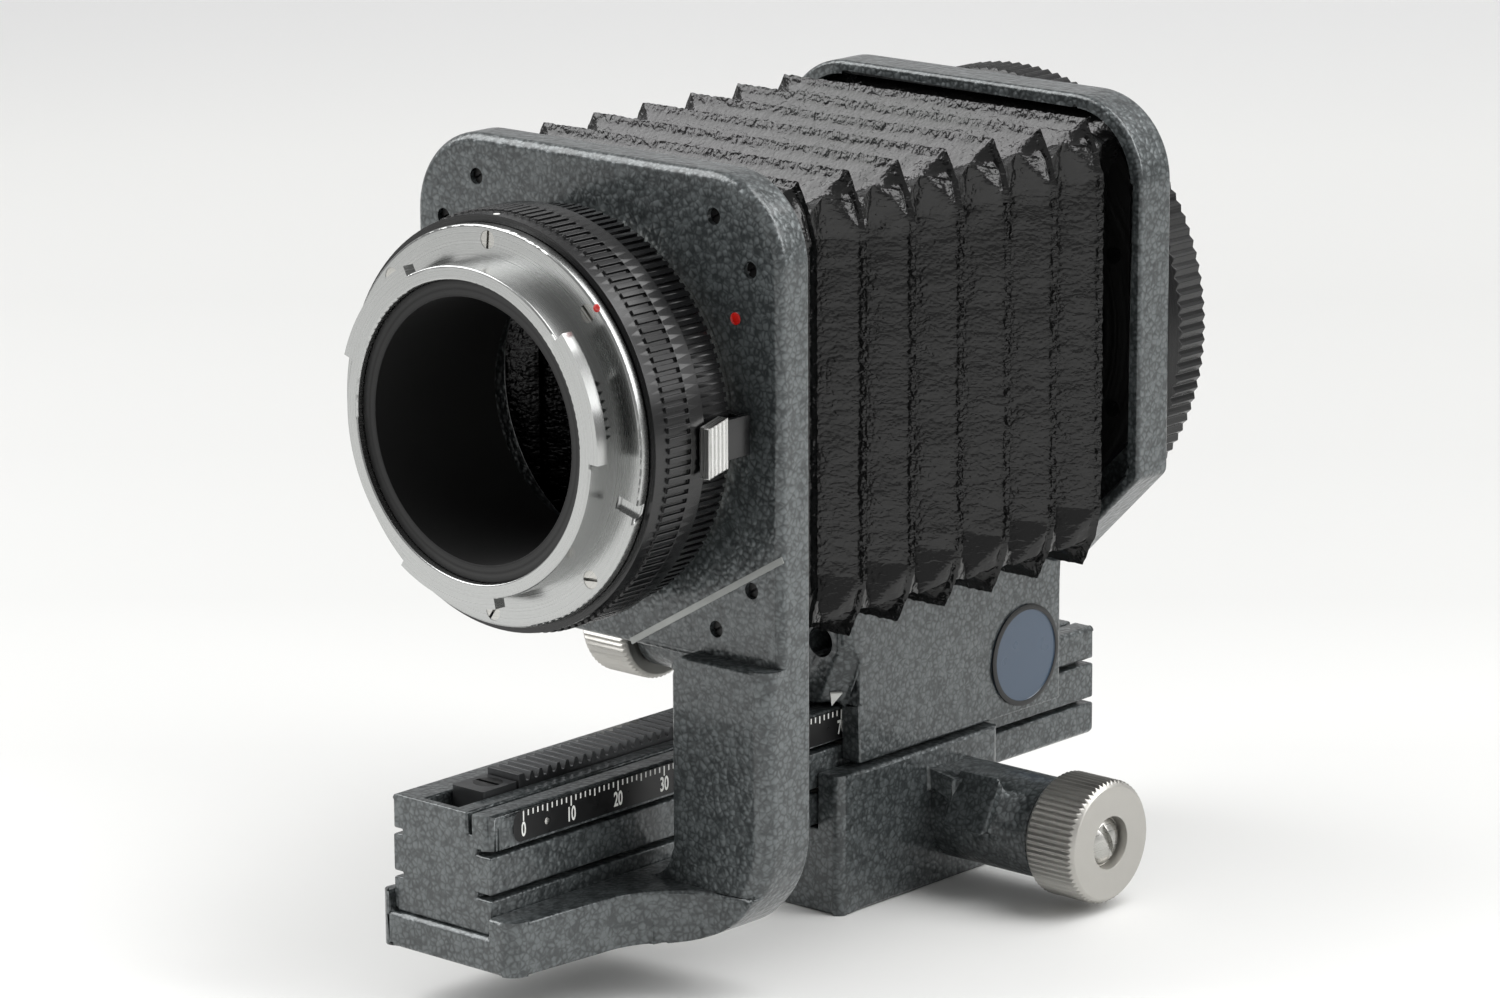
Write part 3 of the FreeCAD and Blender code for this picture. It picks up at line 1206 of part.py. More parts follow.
# ---------------------------------------------------------------------------------------------------------
# Lens carrier with the extension drive
# ---------------------------------------------------------------------------------------------------------
def make_carrier():
    """Cast saddle over the rail with a nose in front and the boss of the knob at the left."""
    body = new_body("lens_carrier")
    half = mm("carrier_width") / 2
    low = mm("carrier_low")
    top = mm("carrier_top")
    side = rail_half + mm("seat_fit")
    roof = rail_top + mm("seat_fit")
    section = new_sketch(body, "section", "XZ", "-Sizes.carrier_front")
    teeth_half = mm("rack_width") / 2 + mm("sliding_gap")
    teeth_roof = rail_top + mm("rack_proud") + mm("sliding_gap")
    draw(section, [(-half, low), (-side, low), (-side, roof), (rack_middle - teeth_half, roof),
                   (rack_middle - teeth_half, teeth_roof), (rack_middle + teeth_half, teeth_roof),
                   (rack_middle + teeth_half, roof), (side, roof), (side, low), (half, low),
                   (half, top, mm("carrier_edge_radius")), (-half, top, mm("carrier_edge_radius"))])
    pad(section, "Sizes.carrier_length")
    add_nose(body, half, teeth_half, teeth_roof)
    boss = new_sketch(body, "boss", "YZ", "-Sizes.boss_end", across="-Sizes.extension_axis_front",
                      up=EXPR_EXTENSION_Z)
    draw_circle(boss, 0, 0, "Sizes.boss_radius")
    pad(boss, "Sizes.boss_end - Sizes.carrier_width / 2 + 1")
    room = new_sketch(body, "pinion_room", "YZ",
                      "-Sizes.rack_centre - Sizes.pinion_face / 2 - Sizes.sliding_gap",
                      across="-Sizes.extension_axis_front", up=EXPR_EXTENSION_Z)
    draw_circle(room, 0, 0, "Sizes.pinion_teeth * Sizes.gear_module / 2 + Sizes.gear_module"
                            " + Sizes.sliding_gap")
    pocket(room, "Sizes.pinion_face + 2 * Sizes.sliding_gap")
    bore = new_sketch(body, "shaft_bore", "YZ", "-Sizes.boss_end", across="-Sizes.extension_axis_front",
                      up=EXPR_EXTENSION_Z)
    draw_circle(bore, 0, 0, "Sizes.shaft_radius + Sizes.running_fit")
    pocket(bore, "Sizes.boss_end + Sizes.pinion_face + Sizes.bush_length / 2")
    seat = new_sketch(body, "bush_seat", "YZ", "-Sizes.boss_end", across="-Sizes.extension_axis_front",
                      up=EXPR_EXTENSION_Z)
    draw_circle(seat, 0, 0, "Sizes.shaft_radius + Sizes.bush_wall")
    pocket(seat, "Sizes.bush_length")
    anchors = new_sketch(body, "strip_slots", "XZ", "-Sizes.carrier_front + 2")
    strip_half = mm("groove_height") / 2 - mm("strip_fit")
    level = mm("upper_groove_level")
    for left, right in ((-side - mm("strip_anchor"), -side + 1), (side - 1, side + mm("strip_anchor"))):
        draw(anchors, rectangle(left, level - strip_half, right, level + strip_half))
    pocket(anchors, "Sizes.carrier_length - 4")
    badge = new_sketch(body, "badge_seat", "YZ", "Sizes.carrier_width / 2 - Sizes.badge_seat",
                       across="Sizes.badge_place", up="Sizes.badge_level")
    draw_circle(badge, 0, 0, "Sizes.badge_radius")
    pocket(badge, "Sizes.badge_seat")
    heads = new_sketch(body, "standard_counterbores", "XY", f"{roof} - 1")
    shanks = new_sketch(body, "standard_holes", "XY", f"{roof} - 1")
    for x, y in standard_screw_places():
        draw_circle(heads, x, y, "Sizes.standard_screw_head + Sizes.seat_fit")
        draw_circle(shanks, x, y, "Sizes.standard_screw_shank")
    pocket(heads, "Sizes.standard_screw_sink + 1")
    pocket(shanks, "Sizes.carrier_top")


def flank_x(y, z):
    """X of the nose's slanted flank at a place in front of the carrier."""
    return mm("flank_place") + mm("flank_lean") * (z - mm("nose_low")) + mm("flank_skew") * (y - carrier_near)


def add_nose(body, half, teeth_half, teeth_roof):
    """Block in front of the saddle with the rack's way, a slanted right flank and a blind hole."""
    tip = carrier_near - mm("nose_reach")
    nose = new_sketch(body, "nose", "XY", "Sizes.nose_low")
    draw(nose, [(-mm("nose_left"), carrier_near + 1), (-mm("nose_left"), tip), (half, tip, mm("nose_corner")),
                (half, carrier_near + 1)])
    pad(nose, "Sizes.carrier_top - Sizes.carrier_edge_radius - Sizes.nose_low")
    way = new_sketch(body, "rack_way", "XZ", "-Sizes.carrier_front - Sizes.nose_reach")
    draw(way, rectangle(rack_middle - teeth_half, mm("nose_low") - 1, rack_middle + teeth_half, teeth_roof))
    pocket(way, "Sizes.nose_reach + 1")
    outlines = []
    for name, height in (("flank_foot", 0.0), ("flank_top", mm("flank_height"))):
        level = mm("nose_low") + height
        outline = new_sketch(body, name, "XY", f"Sizes.nose_low + {height}")
        draw(outline, [(flank_x(carrier_near, level), carrier_near), (2 * half, carrier_near),
                       (2 * half, tip - 1), (flank_x(tip - 1, level), tip - 1)])
        outlines.append(outline)
    flank = body.newObject("PartDesign::SubtractiveLoft", "nose_flank")
    flank.Profile = outlines[0]
    flank.Sections = outlines[1:]
    flank.Ruled = True
    doc.recompute()
    hole = new_sketch(body, "nose_hole", "XZ", "-Sizes.carrier_front - Sizes.nose_reach")
    draw_circle(hole, mm("nose_hole_place"), mm("nose_hole_level"), "Sizes.nose_hole_radius")
    pocket(hole, "Sizes.nose_hole_depth")


def standard_screw_places():
    """Centres of the two screws that come up from the carrier into the lens standard."""
    y = lens_front + mm("lens_recess_depth") / 2 + mm("lens_standard_thickness") / 2
    return [(x * mm("standard_screw_spacing") / 2, min(y, lens_back - 2)) for x in (-1, 1)]


def make_badge():
    """Plain round disc set into the right cheek."""
    body = new_body("badge_disc")
    disc = new_sketch(body, "disc", "YZ", "Sizes.carrier_width / 2 - Sizes.badge_seat",
                      across="Sizes.badge_place", up="Sizes.badge_level")
    draw_circle(disc, 0, 0, "Sizes.badge_radius")
    pad(disc, "Sizes.badge_thickness")


def make_pointer():
    """Small triangular plate on the nose's flank whose tip reads the scale."""
    middle = carrier_near - mm("pointer_place")
    low = mm("nose_low") - mm("pointer_drop")
    high = low + mm("pointer_height")
    half = mm("pointer_half_width")
    corners = [Vector(flank_x(y, z), y, z) for y, z in ((middle, low), (middle + half, high), (middle - half, high))]
    outward = Vector(1, -mm("flank_skew"), -mm("flank_lean")).normalize()
    face = Part.Face(Part.makePolygon(corners + corners[:1]))
    free_part("index_pointer", face.extrude(outward * mm("pointer_thickness")))


def make_extension_bush():
    """Bush in the end of the left boss."""
    shape = placed(bush(mm("bush_length"), False), Vector(-mm("boss_end"), extension_axis_y, extension_axis_z),
                   LEFT)
    free_part("extension_shaft_bush", shape)


def make_extension_drive():
    """Shaft with pinion, knob and screw on the left side."""
    inner_face = -mm("boss_end") - mm("knob_gap")
    start = inner_face - mm("knob_length") + mm("knob_recess_depth") + mm("knob_web")
    end = mm("pinion_face") + mm("bush_length") / 2 - mm("sliding_gap")
    pinion_shaft("extension_shaft", start, end, extension_axis_y, extension_axis_z, -1, -math.pi / 2)
    knob("extension_knob", inner_face, -1, extension_axis_y, extension_axis_z)


def make_lens_standard():
    """Plate with round top corners, cut lower corners and a recess for the bellows in its front."""
    body = new_body("lens_standard")
    bottom = mm("carrier_top")
    top = mm("standard_top")
    cut = mm("lens_standard_cut")
    corner = mm("plate_corner")
    outline = new_sketch(body, "outline", "XZ", "Sizes.lens_standard_front")
    draw(outline, [(-half_width + cut, bottom, 2), (half_width - cut, bottom, 2), (half_width, bottom + cut, 2),
                   (half_width, top, corner), (-half_width, top, corner), (-half_width, bottom + cut, 2)])
    pad(outline, "Sizes.lens_standard_thickness")
    rim = mm("lens_rim")
    inner = half_width - rim
    inner_cut = cut - rim * (2 - math.sqrt(2))
    recess = new_sketch(body, "recess", "XZ", "Sizes.lens_standard_front")
    draw(recess, [(-inner + inner_cut, bottom + rim, 2), (inner - inner_cut, bottom + rim, 2),
                  (inner, bottom + rim + inner_cut, 2), (inner, top - rim, corner - rim),
                  (-inner, top - rim, corner - rim), (-inner, bottom + rim + inner_cut, 2)])
    pocket(recess, "Sizes.lens_recess_depth")
    throat = new_sketch(body, "throat", "XZ", "Sizes.lens_standard_front", up="Sizes.axis_height")
    draw_circle(throat, 0, 0, "Sizes.lens_hub_bore")
    pocket(throat, "Sizes.lens_standard_thickness")
    holes = new_sketch(body, "screw_holes", "XY", "Sizes.carrier_top")
    for x, y in standard_screw_places():
        draw_circle(holes, x, y, "Sizes.standard_screw_shank")
    pocket(holes, "Sizes.standard_screw_depth")

    def is_lip_edge(edge):
        """Outer edge of the front lip or of the back face."""
        box = edge.BoundBox
        flat = box.YMax - box.YMin < 1e-4 and min(abs(box.YMin - lens_front), abs(box.YMin - lens_back)) < 1e-4
        reach = max(abs(box.XMin), abs(box.XMax))
        outside = reach > half_width - 1e-3 or box.ZMax > top - 1e-3 or box.ZMin < bottom + 1e-3
        return flat and outside

    round_edges(body, "Sizes.plate_edge_radius / 2", is_lip_edge)


def make_rear_frame():
    """Flat frame in the lens standard's recess that holds the bellows' rear end, with its screws."""
    body = new_body("rear_bellows_frame")
    level = "Sizes.lens_standard_front + Sizes.lens_recess_depth - Sizes.frame_thickness"
    outer = mm("frame_outer_half") - 1.0
    inner = mm("frame_inner_half")
    outline = new_sketch(body, "outline", "XZ", level, up="Sizes.axis_height")
    cut = mm("frame_corner") + 6
    draw(outline, [(-outer + cut, -outer), (outer - cut, -outer), (outer, -outer + cut),
                   (outer, outer, mm("frame_corner")), (-outer, outer, mm("frame_corner")),
                   (-outer, -outer + cut)],
         rectangle(-inner, -inner + 2, inner, inner, mm("frame_corner") - 2))
    pad(outline, "Sizes.frame_thickness")
    middle = (outer + inner) / 2
    places = [(x * middle, z) for x in (-1, 1) for z in (-12, 12)]
    holes = new_sketch(body, "holes", "XZ", level, up="Sizes.axis_height")
    for x, z in places:
        draw_circle(holes, x, z, "Sizes.plate_screw_shank")
    pocket(holes, "Sizes.frame_thickness")
    shape = screw(1.3, 0.15, mm("plate_screw_shank"), 0.15 + mm("frame_thickness"))
    face = lens_front + mm("lens_recess_depth") - mm("frame_thickness")
    free_part("rear_frame_screws", Part.makeCompound([
        placed(shape, Vector(x, face - 0.15, axis_z + z), TO_CAMERA, 40) for x, z in places]))


def make_lens_base():
    """Ring on the back of the lens standard with the hub that the large ring turns on."""
    body = new_body("lens_base_ring")
    bore = mm("lens_hub_bore")
    end = lens_back + mm("lens_hub_reach")
    profile = along_y(body, "profile")
    draw(profile, [(lens_back, bore), (lens_back, mm("lens_base_radius")),
                   (lens_back + mm("lens_base_flange"), mm("lens_base_radius")),
                   (lens_back + mm("lens_base_flange"), mm("lens_hub_radius")), (end, mm("lens_hub_radius")),
                   (end, bore)])
    turn(profile)
    holes = new_sketch(body, "screw_holes", "XZ", f"{end} - 3", up="Sizes.axis_height")
    for x, z in lens_screw_places():
        draw_circle(holes, x, z, "Sizes.bayonet_screw_shank")
    x, z = lock_pin_place()
    draw_circle(holes, x, z, "Sizes.lock_pin_radius + Sizes.running_fit")
    pocket(holes, "3")


def lens_screw_places():
    """Centres of the lens flange's six screws about the optical axis."""
    circle = (mm("lens_flange_radius") + mm("lens_flange_bore")) / 2
    return [(circle * math.cos(math.radians(a)), circle * math.sin(math.radians(a)))
            for a in (45, 105, 165, 225, 285, 345)]


def lock_pin_place():
    """Centre of the lens lock's pin about the optical axis."""
    circle = (mm("lens_flange_radius") + mm("lens_flange_bore")) / 2
    angle = math.radians(180 - mm("lock_notch_angle"))
    return circle * math.cos(angle), circle * math.sin(angle)


def make_lens_ring():
    """Large knurled ring behind the lens standard, bevelled towards it."""
    body = new_body("lens_ring")
    near = f"{EXPR_LENS_BACK} + Sizes.sliding_gap"
    knurl = new_sketch(body, "knurl", "XZ", near, up="Sizes.axis_height")
    draw(knurl, fluted(mm("lens_ring_radius"), 0.5, int(mm("lens_ring_flutes"))))
    draw_circle(knurl, 0, 0, "Sizes.lens_hub_radius + Sizes.running_fit")
    pad(knurl, "Sizes.lens_ring_length")
    start = lens_back + mm("sliding_gap")
    room = along_y(body, "flange_room")
    draw(room, rectangle(start - 1, mm("lens_hub_radius") - 2,
                         lens_back + mm("lens_base_flange") + mm("sliding_gap"),
                         mm("lens_base_radius") + mm("sliding_gap")))
    turn(room, cut=True)
    bevel = along_y(body, "bevel")
    radius = mm("lens_ring_radius")
    draw(bevel, [(start, radius - mm("lens_ring_bevel")), (start, radius + 1),
                 (start + mm("lens_ring_bevel"), radius + 1), (start + mm("lens_ring_bevel"), radius)])
    turn(bevel, cut=True)


def make_lens_flange():
    """Silver flange with three inward tabs that takes the lens, its screws and the locking pin."""
    body = new_body("lens_flange")
    start = lens_back + mm("lens_hub_reach")
    bore = mm("lens_flange_bore")
    ring = new_sketch(body, "ring", "XZ", f"{EXPR_LENS_BACK} + Sizes.lens_hub_reach", up="Sizes.axis_height")
    draw_circle(ring, 0, 0, "Sizes.lens_flange_radius")
    draw_circle(ring, 0, 0, "Sizes.lens_flange_bore")
    pad(ring, "Sizes.lens_flange_thickness")
    tabs = new_sketch(body, "tabs", "XZ",
                      f"{EXPR_LENS_BACK} + Sizes.lens_hub_reach + Sizes.lens_flange_thickness / 2",
                      up="Sizes.axis_height")
    inner = bore - mm("lens_tab_height")
    half = mm("lens_tab_angle") / 2
    for turn_by in (0, 120, 240):
        angles = [math.radians(turn_by + offset) for offset in (-half, 0, half)]
        rim = [Vector((bore + 0.4) * math.cos(a), (bore + 0.4) * math.sin(a)) for a in angles]
        root = [Vector(inner * math.cos(a), inner * math.sin(a)) for a in angles]
        tabs.addGeometry([Part.Arc(*rim), Part.LineSegment(rim[2], root[2]),
                          Part.Arc(root[2], root[1], root[0]), Part.LineSegment(root[0], rim[0])], False)
    pad(tabs, "Sizes.lens_flange_thickness / 2")
    holes = new_sketch(body, "screw_holes", "XZ", f"{EXPR_LENS_BACK} + Sizes.lens_hub_reach",
                       up="Sizes.axis_height")
    for x, z in lens_screw_places():
        draw_circle(holes, x, z, "Sizes.bayonet_screw_head")
    x, z = lock_pin_place()
    draw_circle(holes, x, z, "Sizes.lock_pin_radius + Sizes.running_fit")
    pocket(holes, "Sizes.lens_flange_thickness")
    face = start + mm("lens_flange_thickness")
    shape = screw(mm("bayonet_screw_head"), mm("lens_flange_thickness") - 0.05, mm("bayonet_screw_shank"),
                  mm("lens_flange_thickness") + 2.7)
    free_part("lens_flange_screws", Part.makeCompound([
        placed(shape, Vector(x, face - 0.05, axis_z + z), TO_LENS, 20 + 40 * index)
        for index, (x, z) in enumerate(lens_screw_places())]))
    x, z = lock_pin_place()
    pin = Part.makeCylinder(mm("lock_pin_radius"), mm("lock_pin_length") - mm("lock_pin_proud"))
    free_part("lens_lock_pin", placed(pin, Vector(x, face + mm("lock_pin_proud"), axis_z + z), TO_CAMERA))


def make_lens_standard_screws():
    """The two long screws from the carrier up into the lens standard."""
    head_level = rail_top + mm("seat_fit") + mm("standard_screw_sink")
    length = mm("carrier_top") + mm("standard_screw_depth") - head_level + 2.0
    shape = screw(mm("standard_screw_head"), 2.0, mm("standard_screw_shank"), length - 0.3)
    free_part("standard_screws", Part.makeCompound([
        placed(shape, Vector(x, y, head_level - 2.0), DOWN) for x, y in standard_screw_places()]))


# ---------------------------------------------------------------------------------------------------------
# Assembly and export
# ---------------------------------------------------------------------------------------------------------
def check_document():
    """Stops at any failed object and at any sub-part without a valid shape."""
    doc.recompute()
    for item in doc.Objects:
        if "Invalid" in item.State or "Error" in item.State:
            raise RuntimeError(f"{item.Name} failed: {item.State}")
    for item in parts:
        if item.Shape.isNull() or not item.Shape.isValid() or not item.Shape.Solids:
            raise RuntimeError(f"{item.Label} has no valid solid")


def main():
    """Builds every sub-part and writes its STEP file."""
    make_rail()
    make_upper_rack()
    make_lower_rack()
    make_rack_stop()
    make_scale()
    make_camera_standard()
    make_standard_screws()
    make_front_frame()
    make_bellows()
    make_base_ring()
    make_mount_ring()
    make_number_ring()
    make_bayonet()
    make_camera_tube()
    make_release_lever()
    make_carriage()
    make_socket()
    guide_strips("carriage_guide_strips", mm("lower_groove_level"),
                 (-mm("strip_length") / 2, mm("strip_length")))
    make_focus_bushes()
    make_focus_drive()
    make_carrier()
    guide_strips("carrier_guide_strips", mm("upper_groove_level"),
                 (carrier_near + 2, mm("carrier_length") - 4))
    make_badge()
    make_pointer()
    make_extension_bush()
    make_extension_drive()
    make_lens_standard()
    make_rear_frame()
    make_lens_base()
    make_lens_ring()
    make_lens_flange()
    make_lens_standard_screws()
    check_document()
    os.makedirs("parts", exist_ok=True)
    for item in parts:
        item.Shape.exportStep(f"parts/{item.Label}.step")
        print(item.Label, round(item.Shape.Volume, 1), len(item.Shape.Solids), len(item.Shape.Faces))


main()
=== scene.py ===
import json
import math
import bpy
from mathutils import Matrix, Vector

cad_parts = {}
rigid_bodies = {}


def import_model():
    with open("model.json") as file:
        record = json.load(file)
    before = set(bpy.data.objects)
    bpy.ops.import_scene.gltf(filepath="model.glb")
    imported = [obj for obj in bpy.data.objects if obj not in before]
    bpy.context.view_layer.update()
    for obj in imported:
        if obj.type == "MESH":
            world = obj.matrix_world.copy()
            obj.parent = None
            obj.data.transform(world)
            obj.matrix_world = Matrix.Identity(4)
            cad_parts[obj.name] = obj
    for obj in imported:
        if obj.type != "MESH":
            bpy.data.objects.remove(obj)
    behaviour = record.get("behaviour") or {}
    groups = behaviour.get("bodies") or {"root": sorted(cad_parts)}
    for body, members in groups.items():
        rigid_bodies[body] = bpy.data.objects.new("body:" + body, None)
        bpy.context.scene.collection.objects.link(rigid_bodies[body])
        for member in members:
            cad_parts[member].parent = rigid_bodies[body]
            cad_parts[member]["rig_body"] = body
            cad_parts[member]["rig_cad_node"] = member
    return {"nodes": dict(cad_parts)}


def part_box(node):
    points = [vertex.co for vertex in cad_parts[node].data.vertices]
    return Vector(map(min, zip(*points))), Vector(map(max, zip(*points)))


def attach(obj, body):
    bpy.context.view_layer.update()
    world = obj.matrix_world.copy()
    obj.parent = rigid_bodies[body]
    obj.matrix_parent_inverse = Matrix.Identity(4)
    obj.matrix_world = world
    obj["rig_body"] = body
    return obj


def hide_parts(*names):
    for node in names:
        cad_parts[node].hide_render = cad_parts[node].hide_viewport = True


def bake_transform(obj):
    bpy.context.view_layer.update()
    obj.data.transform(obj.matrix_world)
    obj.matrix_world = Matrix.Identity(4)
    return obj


bl_info = {
    "name": "Macro Bellows Unit",
    "version": (1, 0, 0),
    "blender": (4, 5, 0),
    "location": "View3D > Sidebar > Bellows",
    "description": "Finishes a macro bellows unit: castings, pleated leather, mounts, rack and scale",
    "category": "Object",
}

import bpy
from mathutils import Matrix, Vector, noise

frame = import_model()

MM = 0.001
IMAGE_WIDTH = 1500
IMAGE_HEIGHT = 998
SENSOR = 36.0

# Lengths that several pieces share, in millimetres: the optical axis, the front of the camera
# standard's plate, and the welds that close the made meshes.
AXIS_Z = 85.3
PLATE_FRONT = -56.62
WELD = 0.002
FINE_WELD = 0.0005

# Angles in degrees: how flat faces have to be to count as one, how sharp an edge is rounded, and
# how sharp an edge still looks.
FLAT = 0.4
FLAT_AFTER_ROUNDING = 0.03
HARD = 34
SHARP = 30
LEATHER_SHARP = 38


# ---------------------------------------------------------------- sizes and colours


class BellowsSizes(bpy.types.PropertyGroup):
    casting_edge: bpy.props.FloatProperty(
        name="Casting edge", description="Rounding on the painted castings' edges",
        default=0.55 * MM, unit="LENGTH", precision=5)
    turned_edge: bpy.props.FloatProperty(
        name="Turned edge", description="Chamfer that the lathe leaves on rings and knobs",
        default=0.16 * MM, unit="LENGTH", precision=5)
    cell_width: bpy.props.FloatProperty(
        name="Hammer cell", description="Width of one cell of the hammer finish",
        default=0.95 * MM, unit="LENGTH", precision=5)
    leather_thickness: bpy.props.FloatProperty(
        name="Leather thickness", description="Thickness of the folded leather",
        default=0.4 * MM, unit="LENGTH", precision=5)
    crease_depth: bpy.props.FloatProperty(
        name="Crease depth", description="How far the creases stand out of the leather",
        default=0.2 * MM, unit="LENGTH", precision=5)
    numeral_height: bpy.props.FloatProperty(
        name="Numeral height", description="Height of the numerals on the scale",
        default=2.15 * MM, unit="LENGTH", precision=5)


def hex_colour(text):
    """An sRGB hex value as linear red, green, blue and alpha."""
    parts = [int(text[i:i + 2], 16) / 255 for i in (1, 3, 5)]
    linear = [p / 12.92 if p <= 0.04045 else ((p + 0.055) / 1.055) ** 2.4 for p in parts]
    return tuple(linear) + (1.0,)


class BellowsColours(bpy.types.PropertyGroup):
    enamel: bpy.props.FloatVectorProperty(
        name="Enamel", description="Top of the hammer enamel's cells", subtype="COLOR", size=4,
        min=0.0, max=1.0, default=hex_colour("#585d5e"))
    # Painted shade: the hammer enamel's sunk cell borders take this darker colour, as the shade in
    # them would be.
    enamel_border: bpy.props.FloatVectorProperty(
        name="Enamel border", description="Sunk borders between the hammer enamel's cells",
        subtype="COLOR", size=4, min=0.0, max=1.0, default=hex_colour("#313536"))
    leather: bpy.props.FloatVectorProperty(
        name="Leather", description="Black of the folded leather", subtype="COLOR", size=4,
        min=0.0, max=1.0, default=hex_colour("#0b0b0b"))
    badge: bpy.props.FloatVectorProperty(
        name="Badge", description="Blue-grey of the round disc", subtype="COLOR", size=4,
        min=0.0, max=1.0, default=hex_colour("#36475a"))
    red: bpy.props.FloatVectorProperty(
        name="Red dots", description="Red of the mounting dots", subtype="COLOR", size=4,
        min=0.0, max=1.0, default=hex_colour("#b31710"))


def sizes():
    return bpy.context.scene.bellows_sizes


def colours():
    return bpy.context.scene.bellows_colours


# ---------------------------------------------------------------- materials


def add(tree, kind, settings=None, links=None):
    """Add one node: settings go to its fields or sockets, links join its sockets to others."""
    item = tree.nodes.new(kind)
    for key, value in (settings or {}).items():
        if isinstance(key, str) and hasattr(item, key):
            setattr(item, key, value)
        else:
            item.inputs[key].default_value = value
    for key, source in (links or {}).items():
        tree.links.new(source, item.inputs[key])
    return item


def start_material(name, **settings):
    """A new material with its shader, and the coordinates of the piece in metres."""
    material = bpy.data.materials.new(name)
    material.use_nodes = True
    tree = material.node_tree
    shader = tree.nodes["Principled BSDF"]
    for key, value in settings.items():
        shader.inputs[key.replace("_", " ")].default_value = value
    place = add(tree, "ShaderNodeTexCoord").outputs["Object"]
    material.diffuse_color = shader.inputs["Base Color"].default_value
    return material, tree, shader, place


def hammer_enamel():
    # Stoved hammer enamel, sprayed on cast aluminium: a glossy skin that gathers in cells, each a low
    # blister that catches its own small highlight. The thin dark borders between the cells are
    # painted
    # shade: the colour is darkened where the borders sink.
    material, tree, shader, place = start_material(
        "hammer_enamel", Metallic=0.35, Roughness=0.34, Coat_Weight=0.45, Coat_Roughness=0.14)
    cell = sizes().cell_width
    drift = add(tree, "ShaderNodeTexNoise", {"Scale": 0.5 / cell, "Detail": 1.0},
                {"Vector": place})
    spread = add(tree, "ShaderNodeVectorMath", {"operation": "MULTIPLY_ADD", 1: (0.7 * cell,) * 3},
                 {0: drift.outputs["Color"], 2: place})
    border = add(tree, "ShaderNodeTexVoronoi",
                 {"feature": "DISTANCE_TO_EDGE", "Scale": 1 / cell, "Randomness": 1.0},
                 {"Vector": spread.outputs[0]})
    blister = add(tree, "ShaderNodeTexVoronoi",
                  {"feature": "SMOOTH_F1", "Scale": 1 / cell, "Randomness": 1.0, "Smoothness": 0.5},
                  {"Vector": spread.outputs[0]})
    cloud = add(tree, "ShaderNodeTexNoise", {"Scale": 0.6 / cell, "Detail": 2.0, "Roughness": 0.6},
                {"Vector": place})
    # Painted shade: the colour darkens towards each cell's sunk border, under a random cloud of tone.
    tone = add(tree, "ShaderNodeMath", {"operation": "MULTIPLY_ADD", 1: 1.1},
               {0: border.outputs["Distance"], 2: cloud.outputs["Fac"]})
    share = add(tree, "ShaderNodeMapRange",
                {"interpolation_type": "SMOOTHSTEP", "From Min": 0.42, "From Max": 0.9},
                {"Value": tone.outputs[0]})
    colour = add(tree, "ShaderNodeMix",
                 {"data_type": "RGBA", 6: tuple(colours().enamel_border), 7: tuple(colours().enamel)},
                 {0: share.outputs[0]})
    tree.links.new(colour.outputs[2], shader.inputs["Base Color"])
    relief = add(tree, "ShaderNodeBump", {"Strength": 1.0, "Distance": 0.16 * MM, "invert": True},
                 {"Height": blister.outputs["Distance"]})
    ripple = add(tree, "ShaderNodeBump", {"Strength": 0.35, "Distance": 0.12 * MM},
                 {"Height": cloud.outputs["Fac"], "Normal": relief.outputs[0]})
    tree.links.new(ripple.outputs[0], shader.inputs["Normal"])
    return material


def turned_metal(name, colour, roughness, pitch=0.22, depth=0.008, metallic=1.0):
    # Metal faced on a lathe: fine rings about the optical axis, some duller than others, that
    # stretch each highlight into a fan.
    material, tree, shader, place = start_material(
        name, Base_Color=hex_colour(colour), Metallic=metallic, Roughness=roughness)
    moved = add(tree, "ShaderNodeMapping", {"Location": (0.0, 0.0, -AXIS_Z * MM)},
                {"Vector": place})
    flat = add(tree, "ShaderNodeVectorMath", {"operation": "MULTIPLY", 1: (1.0, 0.0, 1.0)},
               {0: moved.outputs[0]})
    radius = add(tree, "ShaderNodeVectorMath", {"operation": "LENGTH"}, {0: flat.outputs[0]})
    rings = add(tree, "ShaderNodeTexNoise",
                {"noise_dimensions": "1D", "Scale": 1 / (pitch * MM), "Detail": 3.0},
                {"W": radius.outputs["Value"]})
    rough = add(tree, "ShaderNodeMapRange",
                {"From Min": 0.3, "From Max": 0.7,
                 "To Min": roughness * 0.75, "To Max": roughness * 1.3},
                {"Value": rings.outputs["Fac"]})
    tree.links.new(rough.outputs[0], shader.inputs["Roughness"])
    relief = add(tree, "ShaderNodeBump", {"Strength": 0.5, "Distance": depth * MM},
                 {"Height": rings.outputs["Fac"]})
    tree.links.new(relief.outputs[0], shader.inputs["Normal"])
    return material


def grained(name, colour, roughness, metallic, grain=0.5, depth=0.01, spread=0.3, **settings):
    # Blasted, blackened or moulded: a fine even grain that breaks the gloss.
    material, tree, shader, place = start_material(
        name, Base_Color=hex_colour(colour) if isinstance(colour, str) else tuple(colour),
        Metallic=metallic, Roughness=roughness, **settings)
    fine = add(tree, "ShaderNodeTexNoise", {"Scale": 1 / (grain * MM), "Detail": 3.0},
               {"Vector": place})
    broad = add(tree, "ShaderNodeTexNoise", {"Scale": 1 / (7 * grain * MM), "Detail": 2.0},
                {"Vector": place})
    rough = add(tree, "ShaderNodeMapRange",
                {"To Min": roughness * (1 - spread), "To Max": roughness * (1 + spread)},
                {"Value": broad.outputs["Fac"]})
    tree.links.new(rough.outputs[0], shader.inputs["Roughness"])
    relief = add(tree, "ShaderNodeBump", {"Strength": 0.5, "Distance": depth * MM},
                 {"Height": fine.outputs["Fac"]})
    tree.links.new(relief.outputs[0], shader.inputs["Normal"])
    return material


